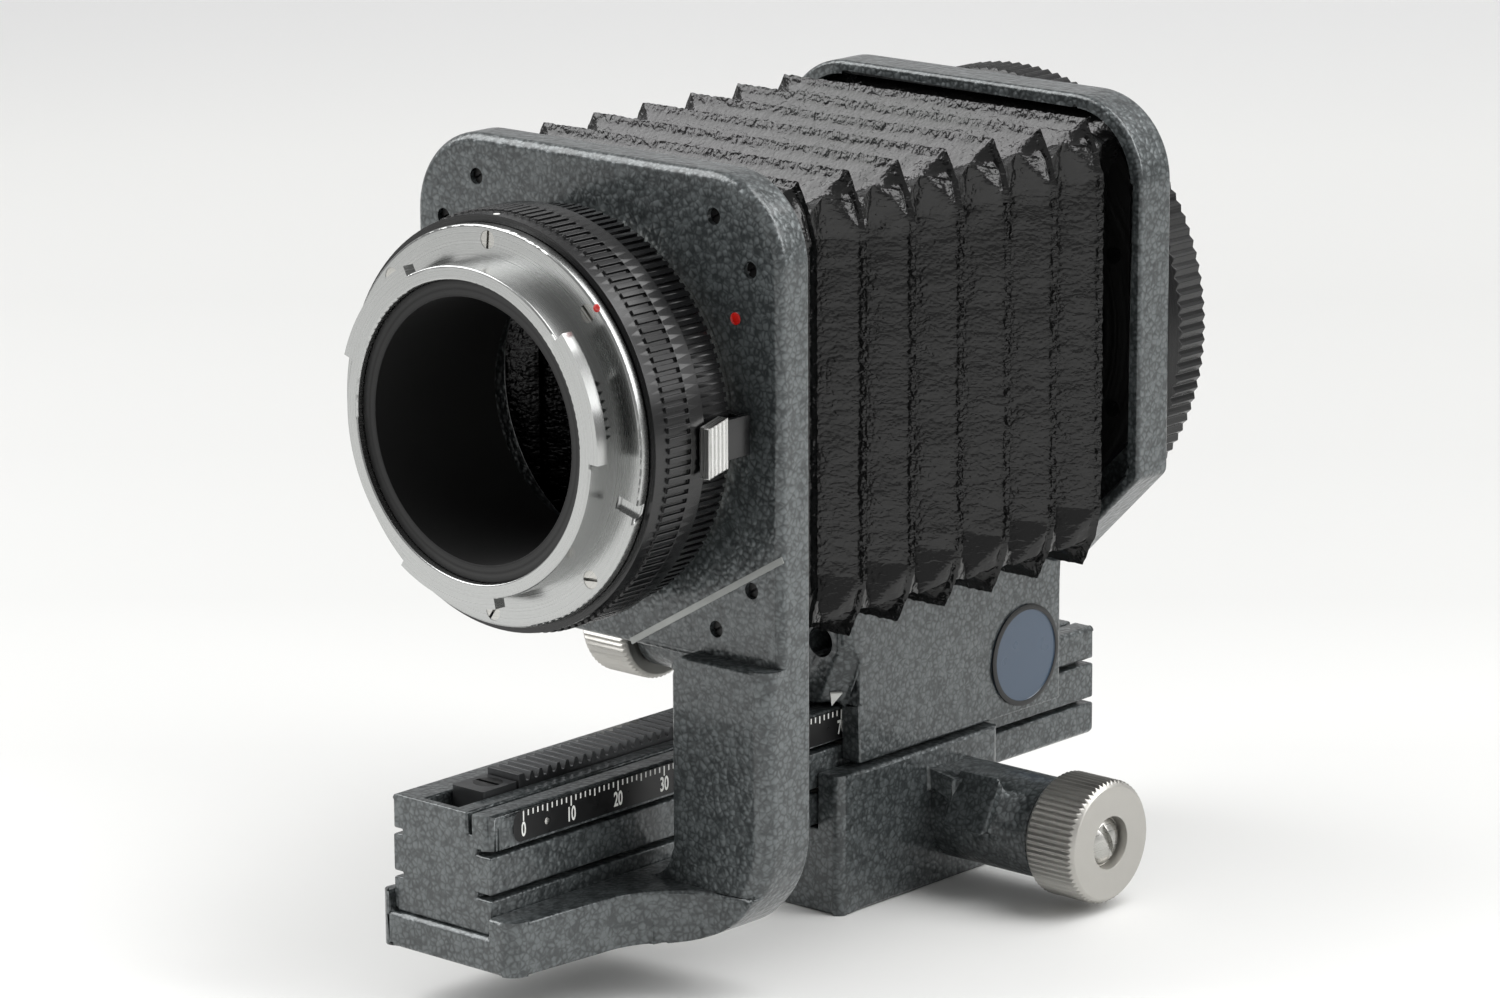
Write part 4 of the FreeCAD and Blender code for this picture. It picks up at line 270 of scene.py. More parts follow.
def bellows_leather():
    # Thin black leather with a dressed, glossy grain: pebbles under half a millimetre wide, flat
    # wrinkles across the pleats and a crushed, beaded line where the folds stand out. It reads the
    # leather's own rest places, so it moves with it.
    material, tree, shader, _ = start_material(
        "bellows_leather", Base_Color=tuple(colours().leather), Roughness=0.2,
        Specular_IOR_Level=0.42)
    rest = add(tree, "ShaderNodeAttribute", {"attribute_name": "rest_place"}).outputs["Vector"]
    fold = add(tree, "ShaderNodeAttribute", {"attribute_name": "from_ridge"}).outputs["Fac"]
    pebbles = add(tree, "ShaderNodeTexVoronoi",
                  {"feature": "SMOOTH_F1", "Scale": 1 / (0.62 * MM), "Randomness": 1.0,
                   "Smoothness": 0.4}, {"Vector": rest})
    drawn = add(tree, "ShaderNodeMapping", {"Scale": (0.5, 0.35, 1.0)}, {"Vector": rest})
    wrinkles = add(tree, "ShaderNodeTexNoise",
                   {"Scale": 1 / (0.85 * MM), "Detail": 3.0, "Roughness": 0.5, "Distortion": 0.4},
                   {"Vector": drawn.outputs[0]})
    sharp = add(tree, "ShaderNodeMapRange",
                {"interpolation_type": "SMOOTHSTEP", "From Min": 0.34, "From Max": 0.6},
                {"Value": wrinkles.outputs["Fac"]})
    beads = add(tree, "ShaderNodeTexNoise", {"Scale": 1 / (0.9 * MM), "Detail": 2.0},
                {"Vector": rest})
    near = add(tree, "ShaderNodeMapRange",
               {"interpolation_type": "SMOOTHSTEP", "From Min": 0.25, "From Max": 0.8,
                "To Min": 1.0, "To Max": 0.0}, {"Value": fold})
    crushed = add(tree, "ShaderNodeMath", {"operation": "MULTIPLY"},
                  {0: near.outputs[0], 1: beads.outputs["Fac"]})
    rough = add(tree, "ShaderNodeMapRange", {"To Min": 0.12, "To Max": 0.24},
                {"Value": wrinkles.outputs["Fac"]})
    tree.links.new(rough.outputs[0], shader.inputs["Roughness"])
    first = add(tree, "ShaderNodeBump", {"Strength": 0.5, "Distance": 0.08 * MM},
                {"Height": sharp.outputs[0]})
    second = add(tree, "ShaderNodeBump",
                 {"Strength": 0.55, "Distance": 0.1 * MM, "invert": True},
                 {"Height": pebbles.outputs["Distance"], "Normal": first.outputs[0]})
    third = add(tree, "ShaderNodeBump", {"Strength": 0.7, "Distance": 0.4 * MM},
                {"Height": crushed.outputs[0], "Normal": second.outputs[0]})
    tree.links.new(third.outputs[0], shader.inputs["Normal"])
    return material


def make_materials():
    """All the finishes by name. Ones that many pieces share are made once."""
    return {
        "enamel": hammer_enamel(),
        "leather": bellows_leather(),
        "flange": turned_metal("turned_bright_steel", "#a4a5a4", 0.24),
        "barrel": turned_metal("polished_bright_steel", "#cfcfcd", 0.16, depth=0.004),
        "base_ring": turned_metal("turned_chromed_brass", "#c3c3c0", 0.2),
        "black_ring": turned_metal("black_anodised_ring", "#0a0a0b", 0.25, metallic=0.1),
        "tube": turned_metal("matt_black_tube", "#030303", 0.55, pitch=0.8, depth=0.03,
                             metallic=0.0),
        "knob": grained("satin_anodised_knob", "#b5b3ae", 0.4, 0.9, grain=0.35, depth=0.012),
        "screw": turned_metal("steel_screw", "#b4b3af", 0.3),
        "black_screw": grained("blackened_screw", "#161616", 0.38, 0.6, grain=0.3),
        "rack": grained("blackened_steel_rack", "#4b4c4d", 0.36, 0.75, grain=0.4, depth=0.012),
        "strip": grained("black_anodised_strip", "#0d0d0e", 0.33, 0.2, grain=0.25, depth=0.005),
        "brass": grained("machined_brass", "#b08d48", 0.3, 1.0),
        "paint": grained("filled_white_paint", "#dfe0dc", 0.55, 0.0, grain=0.2, depth=0.006),
        "red": grained("filled_red_paint", colours().red, 0.25, 0.0, grain=0.2, depth=0.004,
                       Coat_Weight=0.6),
        "badge": grained("enamelled_disc", colours().badge, 0.3, 0.0, grain=0.6, depth=0.008,
                         Coat_Weight=0.3),
        "badge_rim": grained("black_disc_rim", "#0b0c0d", 0.35, 0.0),
        "bare": grained("bare_milled_aluminium", "#8f918f", 0.38, 0.9, grain=0.25, depth=0.02),
        "guide": grained("nylon_strip", "#d8d4c8", 0.5, 0.0),
        "lever": turned_metal("bright_lever", "#cbcbc9", 0.28, depth=0.004),
    }


FINISH = {}


# ---------------------------------------------------------------- modelling helpers


def pick(*items):
    """Select only these objects. The last one is active."""
    for other in bpy.context.view_layer.objects:
        other.select_set(False)
    for item in items:
        item.select_set(True)
        bpy.context.view_layer.objects.active = item


def edit(item):
    """Open one object in edit mode with all of its mesh selected."""
    pick(item)
    bpy.ops.object.mode_set(mode="EDIT")
    bpy.ops.mesh.select_all(action="SELECT")


def close():
    bpy.ops.object.mode_set(mode="OBJECT")


def choose(item, test, kind):
    """In edit mode, select only the faces or the edges that pass the test."""
    bpy.ops.mesh.select_mode(type=kind)
    bpy.ops.mesh.select_all(action="DESELECT")
    close()
    for part in item.data.polygons if kind == "FACE" else item.data.edges:
        part.select = bool(test(part))
    bpy.ops.object.mode_set(mode="EDIT")


def smooth(item, angle=SHARP):
    pick(item)
    bpy.ops.object.shade_smooth_by_angle(angle=math.radians(angle))


def finish_piece(item, name, body, slot, finish, *replaced):
    """Name a piece, bring its origin home, give it its finish and let it ride."""
    pick(item)
    bpy.ops.object.transform_apply(location=True, rotation=True, scale=True)
    item.name = name
    item.data.name = name
    item.data.materials.clear()
    item.data.materials.append(FINISH[finish])
    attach(item, body)
    if replaced:
        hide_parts(*replaced)


def body_of(node):
    return frame["nodes"][node]["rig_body"]


def eased(node, finish, slot, width, shortest=2.0, merge=True):
    """A copy of a CAD node with its hard edges rounded by this width, where they are longer than
    `shortest` widths. Its flat faces are merged before the rounding, or else only after it."""
    body = body_of(node)
    pick(frame["nodes"][node])
    bpy.ops.object.duplicate()
    item = bpy.context.object
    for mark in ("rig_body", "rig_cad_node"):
        del item[mark]
    item.parent = None
    edit(item)
    bpy.ops.mesh.remove_doubles(threshold=WELD * MM)
    if merge:
        bpy.ops.mesh.dissolve_limited(angle_limit=math.radians(FLAT))
    close()
    mesh = item.data
    sides = {}
    for face in mesh.polygons:
        for key in face.edge_keys:
            sides.setdefault(key, []).append(face.normal.copy())
    limit = math.radians(HARD)

    def hard(edge):
        normals = sides.get(edge.key, [])
        a, b = (mesh.vertices[i].co for i in edge.vertices)
        return (len(normals) == 2 and normals[0].angle(normals[1], 0.0) > limit
                and (a - b).length > shortest * width)

    if width > 0:
        edit(item)
        choose(item, hard, "EDGE")
        bpy.ops.mesh.bevel(offset=width, segments=2, affect="EDGES", clamp_overlap=False,
                           miter_outer="SHARP")
        close()
    if width > 0 and not merge:
        edit(item)
        bpy.ops.mesh.dissolve_limited(angle_limit=math.radians(FLAT_AFTER_ROUNDING))
        close()
    smooth(item)
    level = item.modifiers.new("level", "WEIGHTED_NORMAL")
    level.weight = 50 if merge else 100
    level.keep_sharp = True
    bpy.ops.object.modifier_apply(modifier=level.name)
    finish_piece(item, node + "_finished", body, slot, finish, node)


def lathe(name, profile, centre, along, steps=96):
    """Spin a closed profile of (radius, distance) points about an axis through the centre."""
    bpy.ops.mesh.primitive_plane_add(size=1.0)
    item = bpy.context.object
    edit(item)
    bpy.ops.mesh.merge(type="CENTER")
    close()
    middle = Vector(centre) * MM
    axis = Vector(along)
    side = Vector((0, 0, 1)) if abs(axis.z) < 0.5 else Vector((1, 0, 0))

    def spot(point):
        return middle + side * (point[0] * MM) + axis * (point[1] * MM)

    item.data.vertices[0].co = spot(profile[0])
    edit(item)
    bpy.ops.mesh.select_mode(type="VERT")
    bpy.ops.mesh.select_all(action="SELECT")
    last = spot(profile[0])
    for point in list(profile[1:]) + [profile[0]]:
        here = spot(point)
        bpy.ops.mesh.extrude_vertices_move(TRANSFORM_OT_translate={"value": here - last})
        last = here
    bpy.ops.mesh.select_all(action="SELECT")
    bpy.ops.mesh.remove_doubles(threshold=FINE_WELD * MM)
    bpy.ops.mesh.select_all(action="SELECT")
    bpy.ops.mesh.spin(steps=steps, angle=2 * math.pi, center=middle, axis=axis)
    bpy.ops.mesh.select_all(action="SELECT")
    bpy.ops.mesh.remove_doubles(threshold=FINE_WELD * MM)
    bpy.ops.mesh.normals_make_consistent(inside=False)
    close()
    item.name = name
    smooth(item)
    return item


def block(low, high, edge=0.0):
    """A box between two corners in millimetres, with bevelled edges."""
    bpy.ops.mesh.primitive_cube_add(size=1.0)
    item = bpy.context.object
    low, high = Vector(low), Vector(high)
    item.scale = (high - low) * MM
    item.location = (low + high) * (MM / 2)
    pick(item)
    bpy.ops.object.transform_apply(location=True, rotation=True, scale=True)
    if edge:
        edit(item)
        bpy.ops.mesh.bevel(offset=edge * MM, segments=2, affect="EDGES")
        close()
    return item


def joined(items):
    pick(*items)
    bpy.ops.object.join()
    return bpy.context.object


# ---------------------------------------------------------------- castings


class BELLOWS_OT_castings(bpy.types.Operator):
    """Round the edges of the castings and give them their hammer enamel"""

    bl_idname = "bellows_unit.castings"
    bl_label = "Castings"

    def execute(self, context):
        edge = sizes().casting_edge
        for casting in ("camera_standard", "tripod_carriage", "lens_carrier", "lens_standard"):
            eased(casting, "enamel", "hammertone", edge, merge=False)
        eased("rail", "enamel", "hammertone", edge * 0.6, merge=False)
        return {"FINISHED"}


# ---------------------------------------------------------------- bellows

# Outlines of one quarter in millimetres from the axis, from the top's end round to the side's end.
# The ridge has a cut corner, and the valley's corner is pushed out, because the leather is as long
# round the valley as it is round the ridge.
RIDGE_CORNER = ((30.1, 34.4), (32.2, 30.0), (33.4, 25.6))
VALLEY_CORNER = ((21.5, 27.4), (30.0, 31.6), (27.2, 24.9))
RIDGES = 7
FIRST_RIDGE = -46.0
RIDGE_PITCH = 10.97
FRONT_END = -48.9
REAR_END = 28.7
# The last fold's lower corners are drawn in, behind the cut corners of the lens standard.
DRAWN_IN = 0.84
# Cuts across each part of a fold, and the length in millimetres above which a level edge counts as a
# long run rather than a corner.
SLOPE_CUTS = 7
RUN_CUTS = 39
CORNER_CUTS = 7
LONG_RUN = 20


def fold_places():
    """The folds from front to rear: the place along the rail, then the shares of the way out from
    the valley to the ridge at the sides and at the top."""
    places = [(FRONT_END, 0.62, 0.62)]
    for index in range(RIDGES):
        ridge = FIRST_RIDGE + index * RIDGE_PITCH
        places.append((ridge, 1.0, 1.0))
        if index < RIDGES - 1:
            places.append((ridge + RIDGE_PITCH / 2, 0.0, 0.0))
    places.append((FIRST_RIDGE + (RIDGES - 0.5) * RIDGE_PITCH, 0.0, 0.5))
    places.append((REAR_END, 0.1, 1.0))
    return places


def fold_corner(sideways, upward):
    """The three corners of one quarter of a fold."""
    shares = (upward, (upward + sideways) / 2, sideways)
    return [tuple(v + (r - v) * share for r, v in zip(ridge, valley))
            for ridge, valley, share in zip(RIDGE_CORNER, VALLEY_CORNER, shares)]


def fold_outline(sideways, upward):
    """The twelve corners of one fold, clockwise from the top's right end, seen from the front."""
    corner = fold_corner(sideways, upward)
    right_top = corner
    low = fold_corner(sideways, sideways)
    right_low = [(x, -z) for x, z in reversed(low)]
    left_low = [(-x, -z) for x, z in low]
    left_top = [(-x, z) for x, z in reversed(corner)]
    return right_top + right_low + left_low + left_top


class BELLOWS_OT_bellows(bpy.types.Operator):
    """Fold the leather bellows, crease it, and part it into strips at its folds"""

    bl_idname = "bellows_unit.bellows"
    bl_label = "Bellows"

    def execute(self, context):
        folds = fold_places()
        count = len(fold_outline(1.0, 1.0))
        bpy.ops.mesh.primitive_circle_add(vertices=count, radius=1.0, fill_type="NOTHING")
        item = bpy.context.object
        edit(item)
        for _ in folds[1:]:
            bpy.ops.mesh.extrude_region_move(TRANSFORM_OT_translate={"value": (0, 0, 1.0)})
        close()
        # The extruded rings are now shaped into the folds.
        for vertex in item.data.vertices:
            ring = round(vertex.co.z)
            turn = math.atan2(vertex.co.x, vertex.co.y)
            slot = round(turn / (2 * math.pi) * count) % count
            place, sideways, upward = folds[ring]
            x, z = fold_outline(sideways, upward)[slot]
            if ring >= len(folds) - 2 and z < 0:
                x, z = DRAWN_IN * x, DRAWN_IN * z
            vertex.co = Vector((x, place, z + AXIS_Z)) * MM
        self.divide(item)
        self.tuck(item, folds)
        self.crease(item)
        edit(item)
        bpy.ops.mesh.normals_make_consistent(inside=False)
        close()
        skin = item.modifiers.new("leather", "SOLIDIFY")
        skin.thickness = sizes().leather_thickness
        skin.offset = -1.0
        pick(item)
        bpy.ops.object.modifier_apply(modifier=skin.name)
        self.hang(item, folds)
        return {"FINISHED"}

    def divide(self, item):
        """Cut the long runs, the corners and the slopes of the pleats into small faces."""
        mesh = item.data

        def level_length(edge):
            """The length of an edge that goes round the bellows, or none for one on a slope."""
            a, b = (mesh.vertices[i].co for i in edge.vertices)
            return (a - b).length if abs(a.y - b.y) < 0.01 * MM else None

        def slope(edge):
            return level_length(edge) is None

        def straight(edge):
            length = level_length(edge)
            return length is not None and length > LONG_RUN * MM

        def corner(edge):
            length = level_length(edge)
            return length is not None and length <= LONG_RUN * MM

        for test, cuts in ((slope, SLOPE_CUTS), (straight, RUN_CUTS), (corner, CORNER_CUTS)):
            edit(item)
            choose(item, test, "EDGE")
            bpy.ops.mesh.subdivide(number_cuts=cuts)
            close()

    def tuck(self, item, folds):
        """Fold each corner's lower panel along its diagonal, from valley corner to ridge corner."""
        _, r2, r3 = (Vector(c) for c in RIDGE_CORNER)
        _, v2, v3 = (Vector(c) for c in VALLEY_CORNER)
        for vertex in item.data.vertices:
            x, y, z = vertex.co.x / MM, vertex.co.y / MM, vertex.co.z / MM - AXIS_Z
            index = max(i for i in range(len(folds) - 1) if folds[i][0] <= y + 1e-4)
            low, high = folds[index], folds[index + 1]
            along = (y - low[0]) / (high[0] - low[0])
            sideways, upward = (low[k] + (high[k] - low[k]) * along for k in (1, 2))
            if abs(sideways - upward) >= 1e-4:
                continue
            _, start, end = (Vector(c) for c in fold_corner(sideways, upward))
            here = Vector((abs(x), abs(z)))
            run = end - start
            part = (here - start).dot(run) / run.length_squared
            if not -1e-3 < part < 1 + 1e-3 or (start + run * part - here).length > 1e-2:
                continue
            out = (sideways + upward) / 2
            if part <= out:
                flat = v2 + (r2 - v2) * out + (r3 - r2) * part
            else:
                flat = v2 + (v3 - v2) * part + (r3 - v3) * out
            vertex.co.x = math.copysign(flat.x * MM, x)
            vertex.co.z = (AXIS_Z + math.copysign(flat.y, z)) * MM

    def crease(self, item):
        """Press the leather's folds, its soft waves and its crumpled corners."""
        mesh = item.data
        depth = sizes().crease_depth
        for name, kind in (("rest_place", "FLOAT_VECTOR"), ("along", "FLOAT"),
                           ("from_ridge", "FLOAT")):
            mesh.attributes.new(name, kind, "POINT")
        rest = [v.co.copy() for v in mesh.vertices]
        normals = [v.normal.copy() for v in mesh.vertices]
        middle = Vector((0, 0, AXIS_Z * MM))
        for vertex, place, normal in zip(mesh.vertices, rest, normals):
            x, y, z = place.x / MM, place.y / MM, place.z / MM - AXIS_Z
            phase = ((y - FIRST_RIDGE) / RIDGE_PITCH) % 1.0
            from_fold = min(phase, 1.0 - phase, abs(phase - 0.5)) * RIDGE_PITCH
            near_ridge = min(phase, 1.0 - phase) * RIDGE_PITCH
            mesh.attributes["along"].data[vertex.index].value = place.y
            mesh.attributes["rest_place"].data[vertex.index].vector = place
            mesh.attributes["from_ridge"].data[vertex.index].value = near_ridge
            if normal.dot((place - middle).normalized()) < 0:
                normal = -normal
            on_slope = min(1.0, from_fold / 1.6)
            at_corner = max(0.0, min(1.0, (abs(x) + abs(z) - 50.0) / 9.0))
            soft = noise.noise(Vector((x * 0.16, y * 0.3, z * 0.16)))
            wave = noise.noise(Vector((x * 0.5, y * 0.35, z * 0.5 + 7.0)))
            crumple = noise.noise(Vector((x * 0.45, y * 0.8, z * 0.45 + 3.0)))
            move = depth * on_slope * (0.9 * soft + 0.4 * wave + 1.6 * at_corner * crumple)
            if near_ridge < 0.2:
                move = depth * (1.6 + 1.2 * noise.noise(Vector((x * 1.1, y, z * 1.1))))
            elif near_ridge < 1.0:
                move -= 1.1 * depth
            if FRONT_END + 0.5 < y < REAR_END - 0.5:
                vertex.co = place + normal * move
        mesh.update()

    def hang(self, item, folds):
        """Give the leather its finish and part it at its folds into separate strips."""
        smooth(item, LEATHER_SHARP)
        item.data.materials.clear()
        item.data.materials.append(FINISH["leather"])
        places = [place for place, _, _ in folds]
        for index in range(len(folds) - 1):
            low, high = places[index], places[index + 1]
            if index < len(folds) - 2:
                along = [d.value / MM for d in item.data.attributes["along"].data]
                edit(item)
                choose(item, lambda face: sum(along[i] for i in face.vertices) /
                       len(face.vertices) < high, "FACE")
                bpy.ops.mesh.separate(type="SELECTED")
                close()
                strip = [o for o in bpy.context.selected_objects if o is not item][0]
            else:
                strip = item
            strip.name = f"bellows_fold_{index + 1:02d}"
            strip.data.name = strip.name
            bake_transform(strip)
            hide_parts("bellows")


# ---------------------------------------------------------------- mounts and rings


class BELLOWS_OT_camera_mount(bpy.types.Operator):
    """Finish the camera mount: flange, barrel, rings, lever and their marks"""

    bl_idname = "bellows_unit.camera_mount"
    bl_label = "Camera mount"

    def execute(self, context):
        edge = sizes().turned_edge
        eased("camera_bayonet", "flange", "bright_steel", 0)
        eased("mount_base_ring", "base_ring", "bright_steel", edge)
        eased("mount_ring", "black_ring", "black_anodised", 0, merge=False)
        eased("number_ring", "black_ring", "black_anodised", edge * 0.4, shortest=0.5)
        eased("camera_tube", "tube", "black_anodised", edge, merge=False)
        eased("release_lever", "lever", "bright_steel", edge)
        lever = bpy.context.object
        lever.data.materials.append(FINISH["black_ring"])
        # Only the grip is bright: the arm behind the number ring is black.
        grip_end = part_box("number_ring")[1].y + 2.4 * MM
        for face in lever.data.polygons:
            face.material_index = 1 if face.center.y > grip_end else 0
        eased("bayonet_screws", "screw", "screw_steel", edge * 0.35, shortest=0.5)
        self.dots()
        return {"FINISHED"}

    def dots(self):
        """Red mounting dots on the flange's rim and on the plate, and the white index dot."""
        rim = lathe("rim_dot", [(0, 0), (0.62, 0), (0.55, 0.16), (0.3, 0.26), (0, 0.3)],
                    (21.1, -78.5, AXIS_Z + 20.3), (0, -1, 0), 24)
        finish_piece(rim, "flange_red_dot", "camera_mount", "white_paint", "red")
        plate = lathe("plate_dot", [(0, -0.2), (0.95, -0.2), (0.9, 0.12), (0.5, 0.26), (0, 0.3)],
                      (27.6, PLATE_FRONT, 101.4), (0, -1, 0), 28)
        finish_piece(plate, "plate_red_dot", "rail_unit", "white_paint", "red")
        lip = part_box("number_ring")[1].z / MM - AXIS_Z - 0.45
        index = lathe("index_dot", [(0, -0.1), (0.5, -0.1), (0.5, 0.03), (0, 0.05)],
                      (-0.7, -75.9, AXIS_Z + lip), (0, 0, 1), 20)
        finish_piece(index, "ring_index_dot", "number_ring_unit", "white_paint", "paint")


class BELLOWS_OT_lens_mount(bpy.types.Operator):
    """Finish the lens mount at the rear with its knurled ring"""

    bl_idname = "bellows_unit.lens_mount"
    bl_label = "Lens mount"

    def execute(self, context):
        edge = sizes().turned_edge
        eased("lens_ring", "black_ring", "black_anodised", edge * 0.6, shortest=0.5)
        eased("lens_flange", "flange", "bright_steel", edge)
        eased("lens_base_ring", "black_ring", "black_anodised", edge)
        eased("lens_flange_screws", "screw", "screw_steel", edge * 0.35, shortest=0.5)
        return {"FINISHED"}


class BELLOWS_OT_knobs(bpy.types.Operator):
    """Finish the two ribbed knobs and their screws"""

    bl_idname = "bellows_unit.knobs"
    bl_label = "Knobs"

    def execute(self, context):
        edge = sizes().turned_edge
        for knob in ("focus_knob", "extension_knob"):
            eased(knob, "knob", "satin_knob", edge, shortest=0.5)
            eased(knob + "_screw", "screw", "screw_steel", edge * 0.5, shortest=0.5)
        return {"FINISHED"}


# ---------------------------------------------------------------- rail, rack and scale


class BELLOWS_OT_rack(bpy.types.Operator):
    """Finish the rack, its stop and their screw"""

    bl_idname = "bellows_unit.rack"
    bl_label = "Rack"

    def execute(self, context):
        edge = sizes().turned_edge
        eased("upper_rack", "rack", "black_rack", edge * 0.5, shortest=0.5)
        eased("rack_stop", "rack", "black_rack", edge)
        eased("rack_stop_screw", "black_screw", "black_screw", edge * 0.5, shortest=0.5)
        return {"FINISHED"}


class BELLOWS_OT_scale(bpy.types.Operator):
    """Draw the millimetre scale with its ticks and numerals"""

    bl_idname = "bellows_unit.scale"
    bl_label = "Scale"

    # In millimetres: the zero tick's place along the rail, the last value, the line that the
    # ticks hang from and the line that the numerals stand on.
    ZERO = -83.08
    LAST = 110
    TICK_TOP = 30.85
    NUMERAL_FOOT = 27.1

    def execute(self, context):
        eased("scale_strip", "strip", "scale_black", sizes().turned_edge * 0.5)
        eased("scale_rivets", "screw", "screw_steel", sizes().turned_edge, shortest=0.3)
        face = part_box("scale_strip")[1].x / MM
        ticks = []
        for value in range(0, self.LAST + 1):
            length = 1.5 if value % 10 == 0 else 1.15 if value % 5 == 0 else 0.85
            y = self.ZERO + value
            ticks.append(block((face - 0.02, y - 0.12, self.TICK_TOP - length),
                               (face + 0.02, y + 0.12, self.TICK_TOP)))
        finish_piece(joined(ticks), "scale_ticks", "rail_unit", "white_paint", "paint")
        numerals = []
        height = sizes().numeral_height / MM
        for value in range(0, self.LAST + 1, 10):
            numerals.append(self.numeral(str(value), face, self.ZERO + value, height))
        finish_piece(joined(numerals), "scale_numerals", "rail_unit", "white_paint", "paint")
        return {"FINISHED"}

    def numeral(self, text, face, y, height):
        """One number standing on the scale, narrow and bold."""
        bpy.ops.object.text_add()
        item = bpy.context.object
        item.data.body = text
        item.data.size = height * 1.42 * MM
        item.data.offset = 0.03 * height * MM
        item.data.extrude = 0.02 * MM
        item.data.align_x = "CENTER"
        item.data.resolution_u = 3
        item.scale = (0.62, 1.0, 1.0)
        item.rotation_euler = (math.radians(90), 0, math.radians(90))
        item.location = (face * MM, y * MM, self.NUMERAL_FOOT * MM)
        pick(item)
        bpy.ops.object.convert(target="MESH")
        bpy.ops.object.transform_apply(location=True, rotation=True, scale=True)
        return bpy.context.object


# ---------------------------------------------------------------- badge, pointer and marks


class BELLOWS_OT_marks(bpy.types.Operator):
    """Add the bare disc on the carrier, the pointer and the bare strip on the plate"""

    bl_idname = "bellows_unit.marks"
    bl_label = "Marks"

    def execute(self, context):
        low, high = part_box("badge_disc")
        y, z = (low.y + high.y) / 2 / MM, (low.z + high.z) / 2 / MM
        radius = (high.y - low.y) / 2 / MM
        face = (high.x - low.x) / MM
        centre, outwards = (low.x / MM, y, z), (1, 0, 0)
        disc = lathe("disc", [(0, 0), (radius, 0), (radius, face - 0.3), (radius - 0.3, face),
                              (radius - 0.75, face), (radius - 0.9, face - 0.16),
                              (0, face - 0.12)], centre, outwards)
        finish_piece(disc, "badge_disc_finished", "lens_unit", "badge_blue", "badge", "badge_disc")
        rim = lathe("disc_rim", [(radius - 0.8, face - 0.1), (radius + 0.02, face - 0.3),
                                 (radius + 0.02, face - 0.05), (radius - 0.3, face + 0.04),
                                 (radius - 0.8, face + 0.04)], centre, outwards)
        finish_piece(rim, "badge_rim", "lens_unit", "badge_blue", "badge_rim")
        eased("index_pointer", "paint", "white_paint", 0.05 * MM)
        strip = block((-0.5, -0.06, -17.2), (0.5, 0.06, 17.2), 0.03)
        strip.rotation_euler = (0, math.radians(59.75), 0)
        strip.location = (21.55 * MM, (PLATE_FRONT - 0.02) * MM, 58.75 * MM)
        finish_piece(strip, "plate_bare_strip", "rail_unit", "bright_steel", "bare")
        return {"FINISHED"}


class BELLOWS_OT_small_parts(bpy.types.Operator):
    """Give the parts that keep their made shape their finish"""

    bl_idname = "bellows_unit.small_parts"
    bl_label = "Small parts"

    PARTS = {
        "black_screw": ("foot_screws", "plate_screws", "standard_screws", "rear_frame_screws"),
        "black_ring": ("mount_retainer",),
        "tube": ("front_bellows_frame", "rear_bellows_frame"),
        "rack": ("lower_rack",),
        "barrel": ("mount_hub", "focus_shaft", "extension_shaft", "focus_shaft_bushes",
                   "lens_lock_pin"),
        "brass": ("tripod_socket", "extension_shaft_bush"),
        "guide": ("carriage_guide_strips", "carrier_guide_strips"),
    }

    def execute(self, context):
        for finish, nodes in self.PARTS.items():
            for node in nodes:
                mesh = frame["nodes"][node].data
                mesh.materials.clear()
                mesh.materials.append(FINISH[finish])
        return {"FINISHED"}


# ---------------------------------------------------------------- stage


